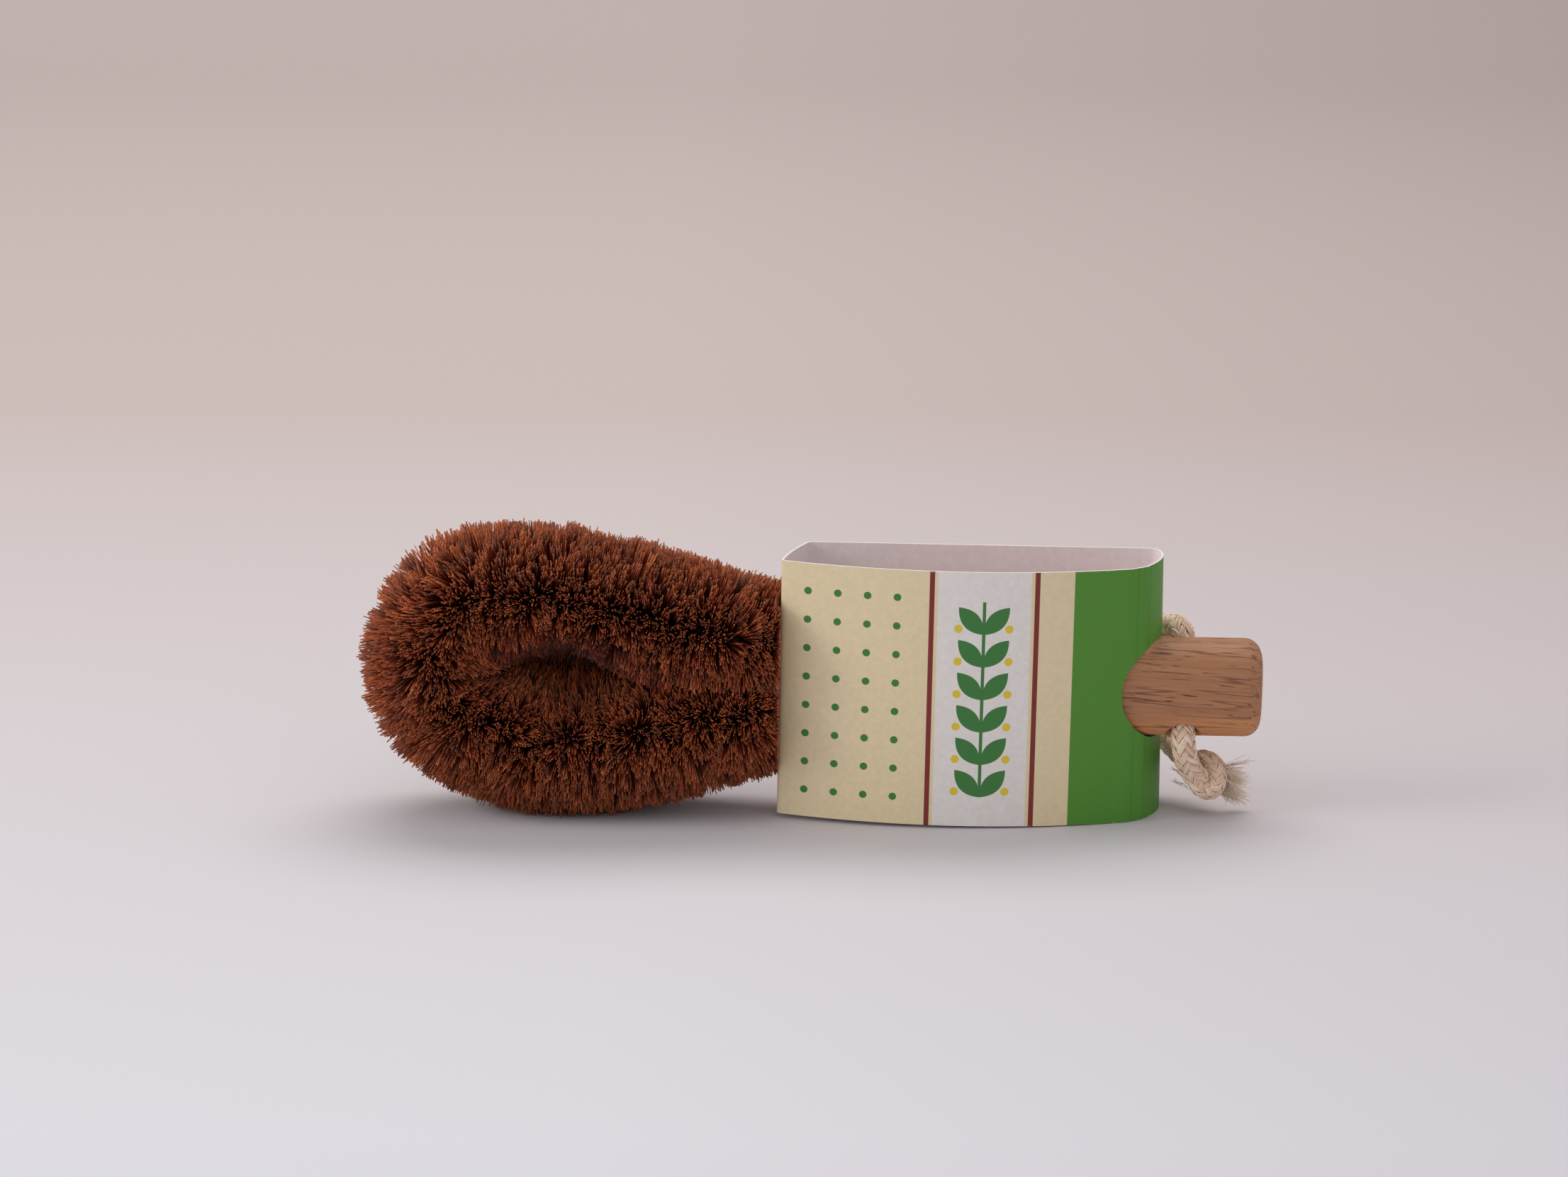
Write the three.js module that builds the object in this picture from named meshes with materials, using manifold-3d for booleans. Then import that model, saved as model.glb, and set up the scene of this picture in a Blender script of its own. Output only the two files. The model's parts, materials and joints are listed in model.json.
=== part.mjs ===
// A washing-up brush with a looped coir head, a wooden handle, a hanging cord and a card sleeve.
// Millimetres, +Z up. The brush lies on its edge, with its head towards -X and its handle towards +X.
// Pieces are drawn round the handle's axis, with x = 0 at the tail, and then laid on the floor together.
import * as THREE from 'three';
import { mergeVertices } from 'three/addons/utils/BufferGeometryUtils.js';
import Module from 'manifold-3d';

const wasm = await Module();
wasm.setup();

// Handle: an oval wooden bar with a rounded tail
const HANDLE_LENGTH = 102;
const HANDLE_HEIGHT = 23;
const HANDLE_DEPTH = 18;
const HANDLE_SQUARENESS = 2.8;
const TAIL_ROUND = 4;
const FRONT_ROUND = 2;

// Core wires: two wires twisted together, bent into a loop, both ends glued in the handle's front
const WIRE_DIAMETER = 1.5;
const WIRE_GAP = 0.6;
const TWIST_PITCH = 13;
const STEM_SPACING = 10;
const STEM_DEPTH = 25;
const STEM_CLEARANCE = 0.35;
const STEM_END_GAP = 0.5;

// Loop: reaches are measured from the handle's front end, rises and drops from its axis
const LOOP_LENGTH = 94.4;
const NECK_REACH = 14.5;
const NECK_RISE = 7.6;
const NECK_DROP = 7.2;
const FLARE_REACH = 53;
const FLARE_RISE = 15.5;
const FLARE_DROP = 15.4;
const BELLY_REACH = 70;
const BELLY_RISE = 18.4;
const BELLY_DROP = 16.2;
const SHOULDER_REACH = 88.8;
const SHOULDER_RISE = 15.6;
const SHOULDER_DROP = 8.6;
const HEAD_RISE = 1.1;

// Bristles: coir strands standing out all round a packed root on the wires
const BRISTLE_REACH = 17.8;
const NECK_BRISTLE_REACH = 15.8;
const NECK_TAPER = 34;
const ROOT_RADIUS = 3.4;
const ROOT_CLEARANCE = 0.35;
const STRAND_PITCH = 3.6;
const STRANDS_ROUND = 9;
const STRAND_TIP = 0.9;
const SHORTEST_STRAND = 0.9;
const LEAN_OUT = 0.05;
const LOOP_SLIT = 3;
const INNER_SHARE = 0.55;
const TIP_SLOPE = 0.2;
const NODE_GAP = 0.4;

// Sleeve: a glued card band round the front of the handle
const CARD = 0.5;
const SLEEVE_HEIGHT = 62.4;
const SLEEVE_LENGTH = 91.6;
const SLEEVE_OVERHANG = 13;
const SLEEVE_SKEW = 6.5;
const SLEEVE_BOW = 7;
const SIDE_BULGE = 0.8;
const BACK_ROOM = 0.6;
const LEFT_CREASE_IN = 1.3;
const RIGHT_CREASE_IN = 0.1;
const RIGHT_CREASE_BACK = 5.8;
const RIGHT_ROUND = 5.6;
const HANDLE_CLEARANCE = 0.4;
const HOLE_FRONT_ROOM = 0.8;
const NECK_HOLE_DEPTH = 15;
const NECK_HOLE_HEIGHT = 27;
const NECK_HOLE_SQUARENESS = 4;
const BRISTLE_TO_CARD = 2.4;

// Hanging cord: braided cotton through a slanted hole near the tail, knotted below it
const CORD_DIAMETER = 5.6;
const CORD_CLEARANCE = 0.5;
const CORD_HOLE_FROM_TAIL = 18.5;
const CORD_HOLE_TILT = THREE.MathUtils.degToRad(30);
const MOUTH_FLARE = 1.1;
const MOUTH_DEPTH = 2;
const SEAT_GAP = 0.3;
const TAIL_START_DIAMETER = 4.4;
const TAIL_END_DIAMETER = 5.4;
const KNOT_LENGTH = 12.4;
const KNOT_WIDTH = 11.4;
const KNOT_WRAP_DIAMETER = 9.2;
const KNOT_CENTRE = [-12, -1.5, -22.6];
const KNOT_WRAP_LEAN = THREE.MathUtils.degToRad(65);
const KNOT_WRAP_TURN = THREE.MathUtils.degToRad(20);

// The cord's route: out of the knot, up through the hole, round behind the sleeve and back to the knot
const CORD_BELOW = [
  [-13.6, -3.4, -22.2], [-15.6, -4.6, -20.2], [-17.4, -5.7, -16.8], [-18.3, -6.3, -13],
];
const CORD_ROUND = [
  [-18.6, 6.6, 11.2], [-19.3, 9.0, 11.9], [-21.0, 12.5, 11.3], [-24.6, 15.2, 10.4],
  [-30.5, 16.2, 8.8], [-38, 16.2, 6.9], [-45, 16.0, 3.6], [-49.6, 15.8, -1.6],
  [-48.6, 15.6, -8.2], [-42.6, 15.5, -12.2], [-34.5, 15.6, -13.6], [-27.2, 15.4, -14.6],
  [-22.2, 13.8, -16.4], [-18.6, 10.4, -18.8], [-15.7, 6.4, -20.8], [-13.4, 2.8, -22.2],
];
const TAIL_A = [[-8.4, -2.6, -21.6], [-5.6, -3.2, -21.8], [-2.6, -3.6, -22.4]];
const TAIL_B = [[-8.6, 1.0, -25.2], [-5.8, 1.3, -25.9], [-2.9, 1.4, -26.7]];

// Facets
const SECTION_SIDES = 40;
const HOLE_SIDES = 16;
const ROUND_STEPS = 4;
const CORD_SIDES = 10;
const CORD_STEP = 2.6;
const TAIL_STEPS = 4;
const KNOT_SIDES = 16;
const WIRE_SIDES = 5;
const CARD_CURVE_STEPS = 10;
const LOOP_DIVISIONS = 800;
const SCAN_STEP = 0.05;
const LEAST_TURN = 1e-3;
const WELD = 1e-4;
const WIRE_STEPS_PER_TWIST = 6;

const handleFront = -HANDLE_LENGTH;
const pairOffset = (WIRE_DIAMETER + WIRE_GAP) / 2;
const pairRadius = pairOffset + WIRE_DIAMETER / 2;
const sleeveLeft = handleFront - SLEEVE_OVERHANG;
const sleeveRight = sleeveLeft + SLEEVE_LENGTH;
const sleeveBack = HANDLE_DEPTH / 2 + BACK_ROOM + CARD;
const cordHoleAxis = new THREE.Vector3(0, Math.sin(CORD_HOLE_TILT), Math.cos(CORD_HOLE_TILT));

const finishes = {
  wood: { color: 0xa8764f, roughness: 0.6, metalness: 0 },
  wire: { color: 0x9a9a98, roughness: 0.35, metalness: 1 },
  coir: { color: 0x6e3a1e, roughness: 0.85, metalness: 0 },
  card: { color: 0xd9cba8, roughness: 0.75, metalness: 0 },
  cotton: { color: 0xcbb9a0, roughness: 0.9, metalness: 0 },
};
const materials = Object.fromEntries(
  Object.entries(finishes).map(([name, finish]) => [name, new THREE.MeshStandardMaterial(finish)]),
);

// A repeatable number from 0 to 1 for each strand
function scatter(seed) {
  const wave = Math.sin(seed * 12.9898 + 4.1414) * 43758.5453;
  return wave - Math.floor(wave);
}

function geometryFrom(positions, triangles) {
  const geometry = new THREE.BufferGeometry();
  geometry.setAttribute('position', new THREE.Float32BufferAttribute(positions, 3));
  geometry.setIndex(triangles);
  geometry.computeVertexNormals();
  return geometry;
}

// A closed skin over rings of points, each ring with as many points as the next, capped at both ends
function skin(rings) {
  const count = rings[0].length;
  const positions = rings.flat().flatMap((p) => [p.x, p.y, p.z]);
  const triangles = [];
  for (let i = 0; i + 1 < rings.length; i++) {
    for (let k = 0; k < count; k++) {
      const a = i * count + k;
      const b = i * count + (k + 1) % count;
      triangles.push(a, b, a + count, b, b + count, a + count);
    }
  }
  const last = (rings.length - 1) * count;
  for (let k = 1; k + 1 < count; k++) {
    triangles.push(0, k + 1, k, last, last + k, last + k + 1);
  }
  return geometryFrom(positions, triangles);
}

function toSolid(geometry) {
  const bare = geometry.clone();
  bare.deleteAttribute('normal');
  bare.deleteAttribute('uv');
  const merged = mergeVertices(bare, WELD);
  return new wasm.Manifold(new wasm.Mesh({
    numProp: 3,
    vertProperties: new Float32Array(merged.attributes.position.array),
    triVerts: new Uint32Array(merged.index.array),
  }));
}

function toGeometry(solid) {
  const mesh = solid.getMesh();
  return geometryFrom(Array.from(mesh.vertProperties), Array.from(mesh.triVerts));
}

// An oval section square to X, its corners filled out as squareness grows past 2
function ovalRing(x, depth, height, squareness, centreY = 0) {
  const ring = [];
  for (let k = 0; k < SECTION_SIDES; k++) {
    const turn = (2 * Math.PI * k) / SECTION_SIDES;
    const across = Math.cos(turn);
    const up = Math.sin(turn);
    ring.push(new THREE.Vector3(
      x,
      centreY + (depth / 2) * Math.sign(across) * Math.abs(across) ** (2 / squareness),
      (height / 2) * Math.sign(up) * Math.abs(up) ** (2 / squareness),
    ));
  }
  return ring;
}

function handleRing(x, inset) {
  return ovalRing(x, HANDLE_DEPTH - 2 * inset, HANDLE_HEIGHT - 2 * inset, HANDLE_SQUARENESS);
}

// Where the cord hole's axis comes out of the handle's oval
function mouthReach() {
  const across = Math.abs(cordHoleAxis.y) / (HANDLE_DEPTH / 2);
  const up = Math.abs(cordHoleAxis.z) / (HANDLE_HEIGHT / 2);
  return (across ** HANDLE_SQUARENESS + up ** HANDLE_SQUARENESS) ** (-1 / HANDLE_SQUARENESS);
}

// A point on the cord hole's axis
function onHole(reach) {
  return cordHoleAxis.clone().multiplyScalar(reach).setX(-CORD_HOLE_FROM_TAIL);
}

function stemBore(side) {
  const radius = pairRadius + STEM_CLEARANCE;
  const length = STEM_DEPTH + FRONT_ROUND;
  const bore = new THREE.CylinderGeometry(radius, radius, length, HOLE_SIDES);
  bore.rotateZ(Math.PI / 2);
  bore.translate(handleFront + STEM_DEPTH - length / 2, 0, (side * STEM_SPACING) / 2);
  return toSolid(bore);
}

function cordHole() {
  const radius = CORD_DIAMETER / 2 + CORD_CLEARANCE;
  const reach = mouthReach();
  const through = HANDLE_HEIGHT + HANDLE_DEPTH;
  const bore = toSolid(new THREE.CylinderGeometry(radius, radius, through, HOLE_SIDES));
  const wide = radius + 2 * MOUTH_FLARE;
  const flare = new THREE.CylinderGeometry(wide, radius, 2 * MOUTH_DEPTH, HOLE_SIDES);
  flare.translate(0, reach, 0);
  const top = toSolid(flare);
  const bottom = toSolid(flare.clone().rotateZ(Math.PI));
  const aim = new THREE.Quaternion().setFromUnitVectors(new THREE.Vector3(0, 1, 0), cordHoleAxis);
  const drilled = toGeometry(bore.add(top).add(bottom));
  drilled.applyQuaternion(aim);
  drilled.translate(-CORD_HOLE_FROM_TAIL, 0, 0);
  return toSolid(drilled);
}

function handle() {
  const rings = [];
  for (let i = 0; i <= ROUND_STEPS; i++) {
    const turn = (Math.PI / 2) * (i / ROUND_STEPS);
    const x = handleFront + FRONT_ROUND * (1 - Math.sin(turn));
    rings.push(handleRing(x, FRONT_ROUND * (1 - Math.cos(turn))));
  }
  rings.reverse();
  for (let i = 0; i <= ROUND_STEPS; i++) {
    const turn = (Math.PI / 2) * (i / ROUND_STEPS);
    rings.push(handleRing(-TAIL_ROUND * (1 - Math.sin(turn)), TAIL_ROUND * (1 - Math.cos(turn))));
  }
  const bar = toSolid(skin(rings));
  return toGeometry(bar.subtract(stemBore(1)).subtract(stemBore(-1)).subtract(cordHole()));
}

// The loop that both wires follow, from the upper bore round the tip to the lower bore
function loopPath() {
  const stem = STEM_SPACING / 2;
  const profile = [
    [STEM_END_GAP - STEM_DEPTH, stem, stem], [-STEM_DEPTH / 2, stem, stem], [0, stem, stem],
    [NECK_REACH, NECK_RISE, NECK_DROP], [FLARE_REACH, FLARE_RISE, FLARE_DROP],
    [BELLY_REACH, BELLY_RISE, BELLY_DROP], [SHOULDER_REACH, SHOULDER_RISE, SHOULDER_DROP],
  ];
  const at = (reach, z) => new THREE.Vector3(handleFront - reach, 0, z);
  const upper = profile.map(([reach, rise]) => at(reach, rise));
  const lower = profile.map(([reach, , drop]) => at(reach, -drop)).reverse();
  const path = new THREE.CatmullRomCurve3([...upper, at(LOOP_LENGTH, HEAD_RISE), ...lower]);
  path.arcLengthDivisions = LOOP_DIVISIONS;
  return path;
}

const loop = loopPath();
const loopRun = loop.getLength();

// The loop's point, direction and outward side at a distance along it
function loopFrame(distance) {
  const share = THREE.MathUtils.clamp(distance / loopRun, 0, 1);
  const along = loop.getTangentAt(share);
  return { point: loop.getPointAt(share), along, out: new THREE.Vector3(along.z, 0, -along.x) };
}

class TwistedWire extends THREE.Curve {
  constructor(phase) {
    super();
    this.phase = phase;
    this.arcLengthDivisions = LOOP_DIVISIONS;
  }

  getPoint(share, target = new THREE.Vector3()) {
    const { point, out } = loopFrame(share * loopRun);
    const turn = this.phase + (2 * Math.PI * share * loopRun) / TWIST_PITCH;
    return target.copy(point)
      .addScaledVector(out, pairOffset * Math.cos(turn))
      .add(new THREE.Vector3(0, pairOffset * Math.sin(turn), 0));
  }
}

function roundPoints(radius, sides) {
  const points = [];
  for (let k = 0; k < sides; k++) {
    const turn = (2 * Math.PI * k) / sides;
    points.push(new THREE.Vector2(radius * Math.cos(turn), radius * Math.sin(turn)));
  }
  return points;
}

function tube(path, diameter, sides, steps) {
  const section = new THREE.Shape(roundPoints(diameter / 2, sides));
  return new THREE.ExtrudeGeometry(section, { extrudePath: path, steps });
}

function coreWire(phase) {
  const steps = Math.round((loopRun / TWIST_PITCH) * WIRE_STEPS_PER_TWIST);
  return tube(new TwistedWire(phase), WIRE_DIAMETER, WIRE_SIDES, steps);
}

// Where the bristled stretch starts on the upper arm: just short of the sleeve's left end
function bristleStart() {
  let distance = STEM_DEPTH;
  while (loopFrame(distance).point.x > sleeveLeft - BRISTLE_TO_CARD) {
    distance += SCAN_STEP;
  }
  return distance;
}

const bristlesFrom = bristleStart();
const bristlesTo = loopRun - bristlesFrom;

function bendRadius(distance) {
  const step = STRAND_PITCH / 2;
  const turned = loopFrame(distance - step).along.angleTo(loopFrame(distance + step).along);
  return (2 * step) / Math.max(turned, LEAST_TURN);
}

// How far from the wires a strand ends: full length outwards, less where the two arms face each other
function strandReach(distance, angle) {
  const fromNeck = Math.min(distance - bristlesFrom, bristlesTo - distance);
  const grown = THREE.MathUtils.smoothstep(fromNeck, 0, NECK_TAPER);
  const full = THREE.MathUtils.lerp(NECK_BRISTLE_REACH, BRISTLE_REACH, grown);
  const inward = -Math.cos(angle);
  if (inward <= 0) {
    return full;
  }
  const { point, out } = loopFrame(distance);
  const toMiddle = Math.abs(point.z - HEAD_RISE) / Math.max(Math.abs(out.z), TIP_SLOPE);
  const room = Math.min(toMiddle - LOOP_SLIT / 2, INNER_SHARE * bendRadius(distance));
  return Math.min(full, Math.max(ROOT_RADIUS + STRAND_TIP, room / inward));
}

let strandCount = 0;

// A hollow root round the wires, each cell of its outside drawn out into one strand
function bristles(from, to) {
  const rows = Math.max(2, Math.round((to - from) / STRAND_PITCH));
  const positions = [];
  const triangles = [];
  const put = (point) => positions.push(point.x, point.y, point.z) / 3 - 1;
  const around = (frame, angle, radius) => frame.point.clone()
    .addScaledVector(frame.out, radius * Math.cos(angle))
    .add(new THREE.Vector3(0, radius * Math.sin(angle), 0));
  const face = (a, b, c, d) => triangles.push(a, b, c, a, c, d);

  const cellAngle = (2 * Math.PI) / STRANDS_ROUND;
  const outer = [];
  const inner = [];
  for (let i = 0; i <= rows; i++) {
    const frame = loopFrame(from + ((to - from) * i) / rows);
    outer.push([]);
    inner.push([]);
    for (let k = 0; k < STRANDS_ROUND; k++) {
      outer[i].push(put(around(frame, k * cellAngle, ROOT_RADIUS)));
      inner[i].push(put(around(frame, k * cellAngle, pairRadius + ROOT_CLEARANCE)));
    }
  }
  for (let k = 0; k < STRANDS_ROUND; k++) {
    const next = (k + 1) % STRANDS_ROUND;
    face(outer[0][next], outer[0][k], inner[0][k], inner[0][next]);
    face(outer[rows][k], outer[rows][next], inner[rows][next], inner[rows][k]);
  }
  for (let i = 0; i < rows; i++) {
    const distance = from + ((to - from) * (i + 0.5)) / rows;
    const frame = loopFrame(distance);
    for (let k = 0; k < STRANDS_ROUND; k++) {
      const next = (k + 1) % STRANDS_ROUND;
      const angle = (k + 0.5) * cellAngle;
      const cut = THREE.MathUtils.lerp(SHORTEST_STRAND, 1, scatter(strandCount));
      const reach = cut * strandReach(distance, angle);
      const lean = LEAN_OUT * (2 * scatter(strandCount + 0.5) - 1) * Math.max(0, Math.cos(angle));
      strandCount += 1;
      const middle = around(frame, angle, reach).addScaledVector(frame.along, lean * reach);
      const side = around(frame, angle + Math.PI / 2, 1).sub(frame.point);
      const corner = (alongSign, sideSign) => put(middle.clone()
        .addScaledVector(frame.along, (alongSign * STRAND_TIP) / 2)
        .addScaledVector(side, (sideSign * STRAND_TIP) / 2));
      const base = [outer[i][k], outer[i][next], outer[i + 1][next], outer[i + 1][k]];
      const tip = [corner(-1, -1), corner(-1, 1), corner(1, 1), corner(1, -1)];
      for (let e = 0; e < tip.length; e++) {
        const f = (e + 1) % tip.length;
        face(base[e], base[f], tip[f], tip[e]);
      }
      face(...tip);
      face(inner[i][k], inner[i + 1][k], inner[i + 1][next], inner[i][next]);
    }
  }
  return geometryFrom(positions, triangles);
}

// The card band's outside, seen from above, anticlockwise from its front left crease
function cardOutline() {
  const leftY = LEFT_CREASE_IN - HANDLE_DEPTH / 2;
  const rightY = RIGHT_CREASE_IN - HANDLE_DEPTH / 2;
  const creaseX = sleeveRight - RIGHT_CREASE_BACK;
  const bowY = (leftY + rightY) / 2 - 2 * SLEEVE_BOW;
  const roundY = sleeveBack - RIGHT_ROUND;
  const outline = new THREE.Path();
  outline.moveTo(sleeveLeft, leftY);
  outline.quadraticCurveTo((sleeveLeft + creaseX) / 2, bowY, creaseX, rightY);
  outline.quadraticCurveTo(sleeveRight, roundY - RIGHT_ROUND, sleeveRight, roundY);
  outline.quadraticCurveTo(sleeveRight, sleeveBack, sleeveRight - RIGHT_ROUND / 2, sleeveBack);
  outline.lineTo(sleeveLeft + SLEEVE_SKEW, sleeveBack);
  outline.quadraticCurveTo(
    sleeveLeft + SLEEVE_SKEW / 2 - 2 * SIDE_BULGE, (leftY + sleeveBack) / 2, sleeveLeft, leftY,
  );
  return outline.getPoints(CARD_CURVE_STEPS).slice(0, -1);
}

// The same outline moved inwards by a distance, with mitred corners
function inset(points, distance) {
  return points.map((point, i) => {
    const before = points[(i + points.length - 1) % points.length];
    const after = points[(i + 1) % points.length];
    const into = point.clone().sub(before).normalize();
    const onward = after.clone().sub(point).normalize();
    const mitre = new THREE.Vector2(-into.y - onward.y, into.x + onward.x).normalize();
    const cosine = mitre.dot(new THREE.Vector2(-into.y, into.x));
    return point.clone().addScaledVector(mitre, distance / cosine);
  });
}

function cardSleeve() {
  const outside = cardOutline();
  const shape = new THREE.Shape(outside);
  shape.holes.push(new THREE.Path(inset(outside, CARD)));
  const band = new THREE.ExtrudeGeometry(shape, { depth: SLEEVE_HEIGHT, bevelEnabled: false });
  band.translate(0, 0, -SLEEVE_HEIGHT / 2);
  const handleHole = skin([sleeveRight - HANDLE_DEPTH, sleeveRight + HANDLE_CLEARANCE].map((x) => ovalRing(
    x, HANDLE_DEPTH + 2 * HANDLE_CLEARANCE + HOLE_FRONT_ROOM, HANDLE_HEIGHT + 2 * HANDLE_CLEARANCE,
    HANDLE_SQUARENESS, -HOLE_FRONT_ROOM / 2,
  )));
  const leftMiddle = (sleeveBack + LEFT_CREASE_IN - HANDLE_DEPTH / 2) / 2;
  const neckHole = skin([sleeveLeft - SLEEVE_SKEW, sleeveLeft + 2 * SLEEVE_SKEW].map((x) => ovalRing(
    x, NECK_HOLE_DEPTH, NECK_HOLE_HEIGHT, NECK_HOLE_SQUARENESS, leftMiddle,
  )));
  return toGeometry(toSolid(band).subtract(toSolid(handleHole)).subtract(toSolid(neckHole)));
}

function cordRoute() {
  const inside = mouthReach() - MOUTH_DEPTH;
  const points = [
    ...CORD_BELOW.map((p) => new THREE.Vector3(...p)),
    ...[-inside, -inside / 3, inside / 3, inside].map(onHole),
    ...CORD_ROUND.map((p) => new THREE.Vector3(...p)),
  ];
  return new THREE.CatmullRomCurve3(points);
}

function hangingCord(diameter) {
  const route = cordRoute();
  return tube(route, diameter, CORD_SIDES, Math.round(route.getLength() / CORD_STEP));
}

// A frayed end that widens away from the knot
function cordTail(points, extra = 0) {
  const path = new THREE.CatmullRomCurve3(points.map((p) => new THREE.Vector3(...p)));
  const frames = path.computeFrenetFrames(TAIL_STEPS);
  const rings = [];
  for (let i = 0; i <= TAIL_STEPS; i++) {
    const share = i / TAIL_STEPS;
    const radius = THREE.MathUtils.lerp(TAIL_START_DIAMETER, TAIL_END_DIAMETER, share) / 2 + extra;
    rings.push(roundPoints(radius, CORD_SIDES).map((p) => path.getPointAt(share)
      .addScaledVector(frames.normals[i], p.x)
      .addScaledVector(frames.binormals[i], p.y)));
  }
  return skin(rings);
}

// The overhand knot: a round lump with one turn of cord wrapped over it, hollowed for the cord's ends
function cordKnot() {
  const lump = new THREE.SphereGeometry(KNOT_WIDTH / 2, KNOT_SIDES, KNOT_SIDES / 2)
    .scale(KNOT_LENGTH / KNOT_WIDTH, 1, 1);
  const wrap = new THREE.TorusGeometry(KNOT_WRAP_DIAMETER / 2, CORD_DIAMETER / 2, CORD_SIDES, KNOT_SIDES);
  wrap.rotateY(KNOT_WRAP_LEAN).rotateZ(KNOT_WRAP_TURN);
  const knot = toGeometry(toSolid(lump).add(toSolid(wrap))).translate(...KNOT_CENTRE);
  return toGeometry(toSolid(knot)
    .subtract(toSolid(hangingCord(CORD_DIAMETER + 2 * SEAT_GAP)))
    .subtract(toSolid(cordTail(TAIL_A, SEAT_GAP)))
    .subtract(toSolid(cordTail(TAIL_B, SEAT_GAP))));
}

const lying = new THREE.Group();

function add(name, geometry, finish) {
  const mesh = new THREE.Mesh(geometry, materials[finish]);
  mesh.name = name;
  lying.add(mesh);
  return mesh;
}

add('handle', handle(), 'wood');
add('core_wire_a', coreWire(0), 'wire');
add('core_wire_b', coreWire(Math.PI), 'wire');

// Four lengths of bristle, each from one quarter of the bristled stretch to the next
const lengths = ['bristles_upper_arm', 'bristles_upper_tip', 'bristles_lower_tip', 'bristles_lower_arm'];
const quarter = (bristlesTo - bristlesFrom) / lengths.length;
const bristled = lengths.map((name, i) => add(
  name,
  bristles(bristlesFrom + i * quarter + NODE_GAP / 2, bristlesFrom + (i + 1) * quarter - NODE_GAP / 2),
  'coir',
));

add('card_sleeve', cardSleeve(), 'card');
const cords = [
  add('hanging_cord', hangingCord(CORD_DIAMETER), 'cotton'),
  add('cord_knot', cordKnot(), 'cotton'),
  add('cord_tail_a', cordTail(TAIL_A), 'cotton'),
  add('cord_tail_b', cordTail(TAIL_B), 'cotton'),
];

// The brush leans on its lowest bristle and on the bottom of the sleeve's right end
function restingLean() {
  const rim = new THREE.Vector2(sleeveRight - RIGHT_ROUND / 2, -SLEEVE_HEIGHT / 2);
  let lean = -Math.PI / 2;
  for (const { geometry } of bristled) {
    const places = geometry.attributes.position;
    for (let i = 0; i < places.count; i++) {
      lean = Math.max(lean, Math.atan2(rim.y - places.getZ(i), rim.x - places.getX(i)));
    }
  }
  return lean;
}

lying.rotation.y = restingLean();

// The origin is on the floor, under the middle of everything but the cord
const part = new THREE.Group();
part.add(lying);
part.updateMatrixWorld(true);
const extent = new THREE.Box3();
for (const mesh of lying.children.filter((child) => !cords.includes(child))) {
  extent.expandByObject(mesh, true);
}
const middle = extent.getCenter(new THREE.Vector3());
lying.position.set(-middle.x, -middle.y, -extent.min.z);

export default part;
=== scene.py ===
# A washing-up brush: a looped coir head, a wooden handle, a card sleeve and a knotted hanging cord.
# Pieces are drawn in millimetres on the brush's own axes, x = 0 at the handle's tail and the head
# towards -X, and are then laid into the frame in metres.
import json
import math

import bpy
import numpy as np
from mathutils import Matrix, Vector


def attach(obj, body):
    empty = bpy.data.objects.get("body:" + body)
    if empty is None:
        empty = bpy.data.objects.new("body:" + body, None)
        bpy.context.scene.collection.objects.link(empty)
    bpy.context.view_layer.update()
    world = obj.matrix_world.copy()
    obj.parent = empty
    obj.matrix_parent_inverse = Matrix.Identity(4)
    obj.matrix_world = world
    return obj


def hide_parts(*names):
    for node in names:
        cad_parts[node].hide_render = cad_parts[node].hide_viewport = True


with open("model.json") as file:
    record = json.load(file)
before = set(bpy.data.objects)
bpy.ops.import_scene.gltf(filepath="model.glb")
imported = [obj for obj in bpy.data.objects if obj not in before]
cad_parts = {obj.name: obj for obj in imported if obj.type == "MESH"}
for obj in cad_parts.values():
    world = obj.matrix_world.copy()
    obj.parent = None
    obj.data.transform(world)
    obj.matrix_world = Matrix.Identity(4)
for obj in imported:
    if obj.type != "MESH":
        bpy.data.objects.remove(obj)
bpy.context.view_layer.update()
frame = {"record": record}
scene = bpy.context.scene
scene.view_settings.view_transform = "Standard"

# Handle: one bar of pale hardwood, shaped to an oval and sanded, with softened ends and no varnish.
# A slanted hole is drilled across it near the tail for the cord, and two blind bores in its front
# end take the wires.
HANDLE_LENGTH = 102
HANDLE_HEIGHT = 23
HANDLE_DEPTH = 18
HANDLE_SQUARENESS = 2.8
TAIL_ROUND = 4
FRONT_ROUND = 2
HANDLE_SIDES = 96
HANDLE_SHARP = math.radians(38)
RING_STEP = 1.5
FRONT_STEPS = 10
TAIL_STEPS = 16
STEM_SPACING = 10
STEM_DEPTH = 25
STEM_BORE_RADIUS = 2.15
CORD_HOLE_X = -18.5
CORD_HOLE_RADIUS = 3.3
CORD_HOLE_TILT = math.radians(30)
MOUTH_DEPTH = 2
MOUTH_FLARE = 1.1
MOUTH_CURVE = 1.6
MOUTH_STEPS = 13
CUTTER_SIDES = 64
CUTTER_REACH = 4
GRAIN_SLOPE = 0.06
STREAKS = (0.03, 1.3, 1.3)
BROAD_BANDS = (0.012, 0.13, 0.13)
DASHES = (0.15, 2.1, 2.1)
DASH_PATCHES = (0.05, 0.3, 0.3)
VEINS = (0.02, 0.55, 0.55)
VEIN_BREAKS = (0.05, 0.4, 0.4)
VEIN_SHADE = 0.7
PORE_SHADE = 0.85
WARM_UNDERLIGHT_SHARE = 0.75
UNDERLIGHT_FROM_Z = 0.5
UNDERLIGHT_FULL_Z = -8.5
WOOD_LIGHT = (184, 131, 95)
WOOD_DARK = (169, 117, 83)
WOOD_WARM_UNDERLIT = (222, 152, 94)
WOOD_PORE = (78, 38, 25)

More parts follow.
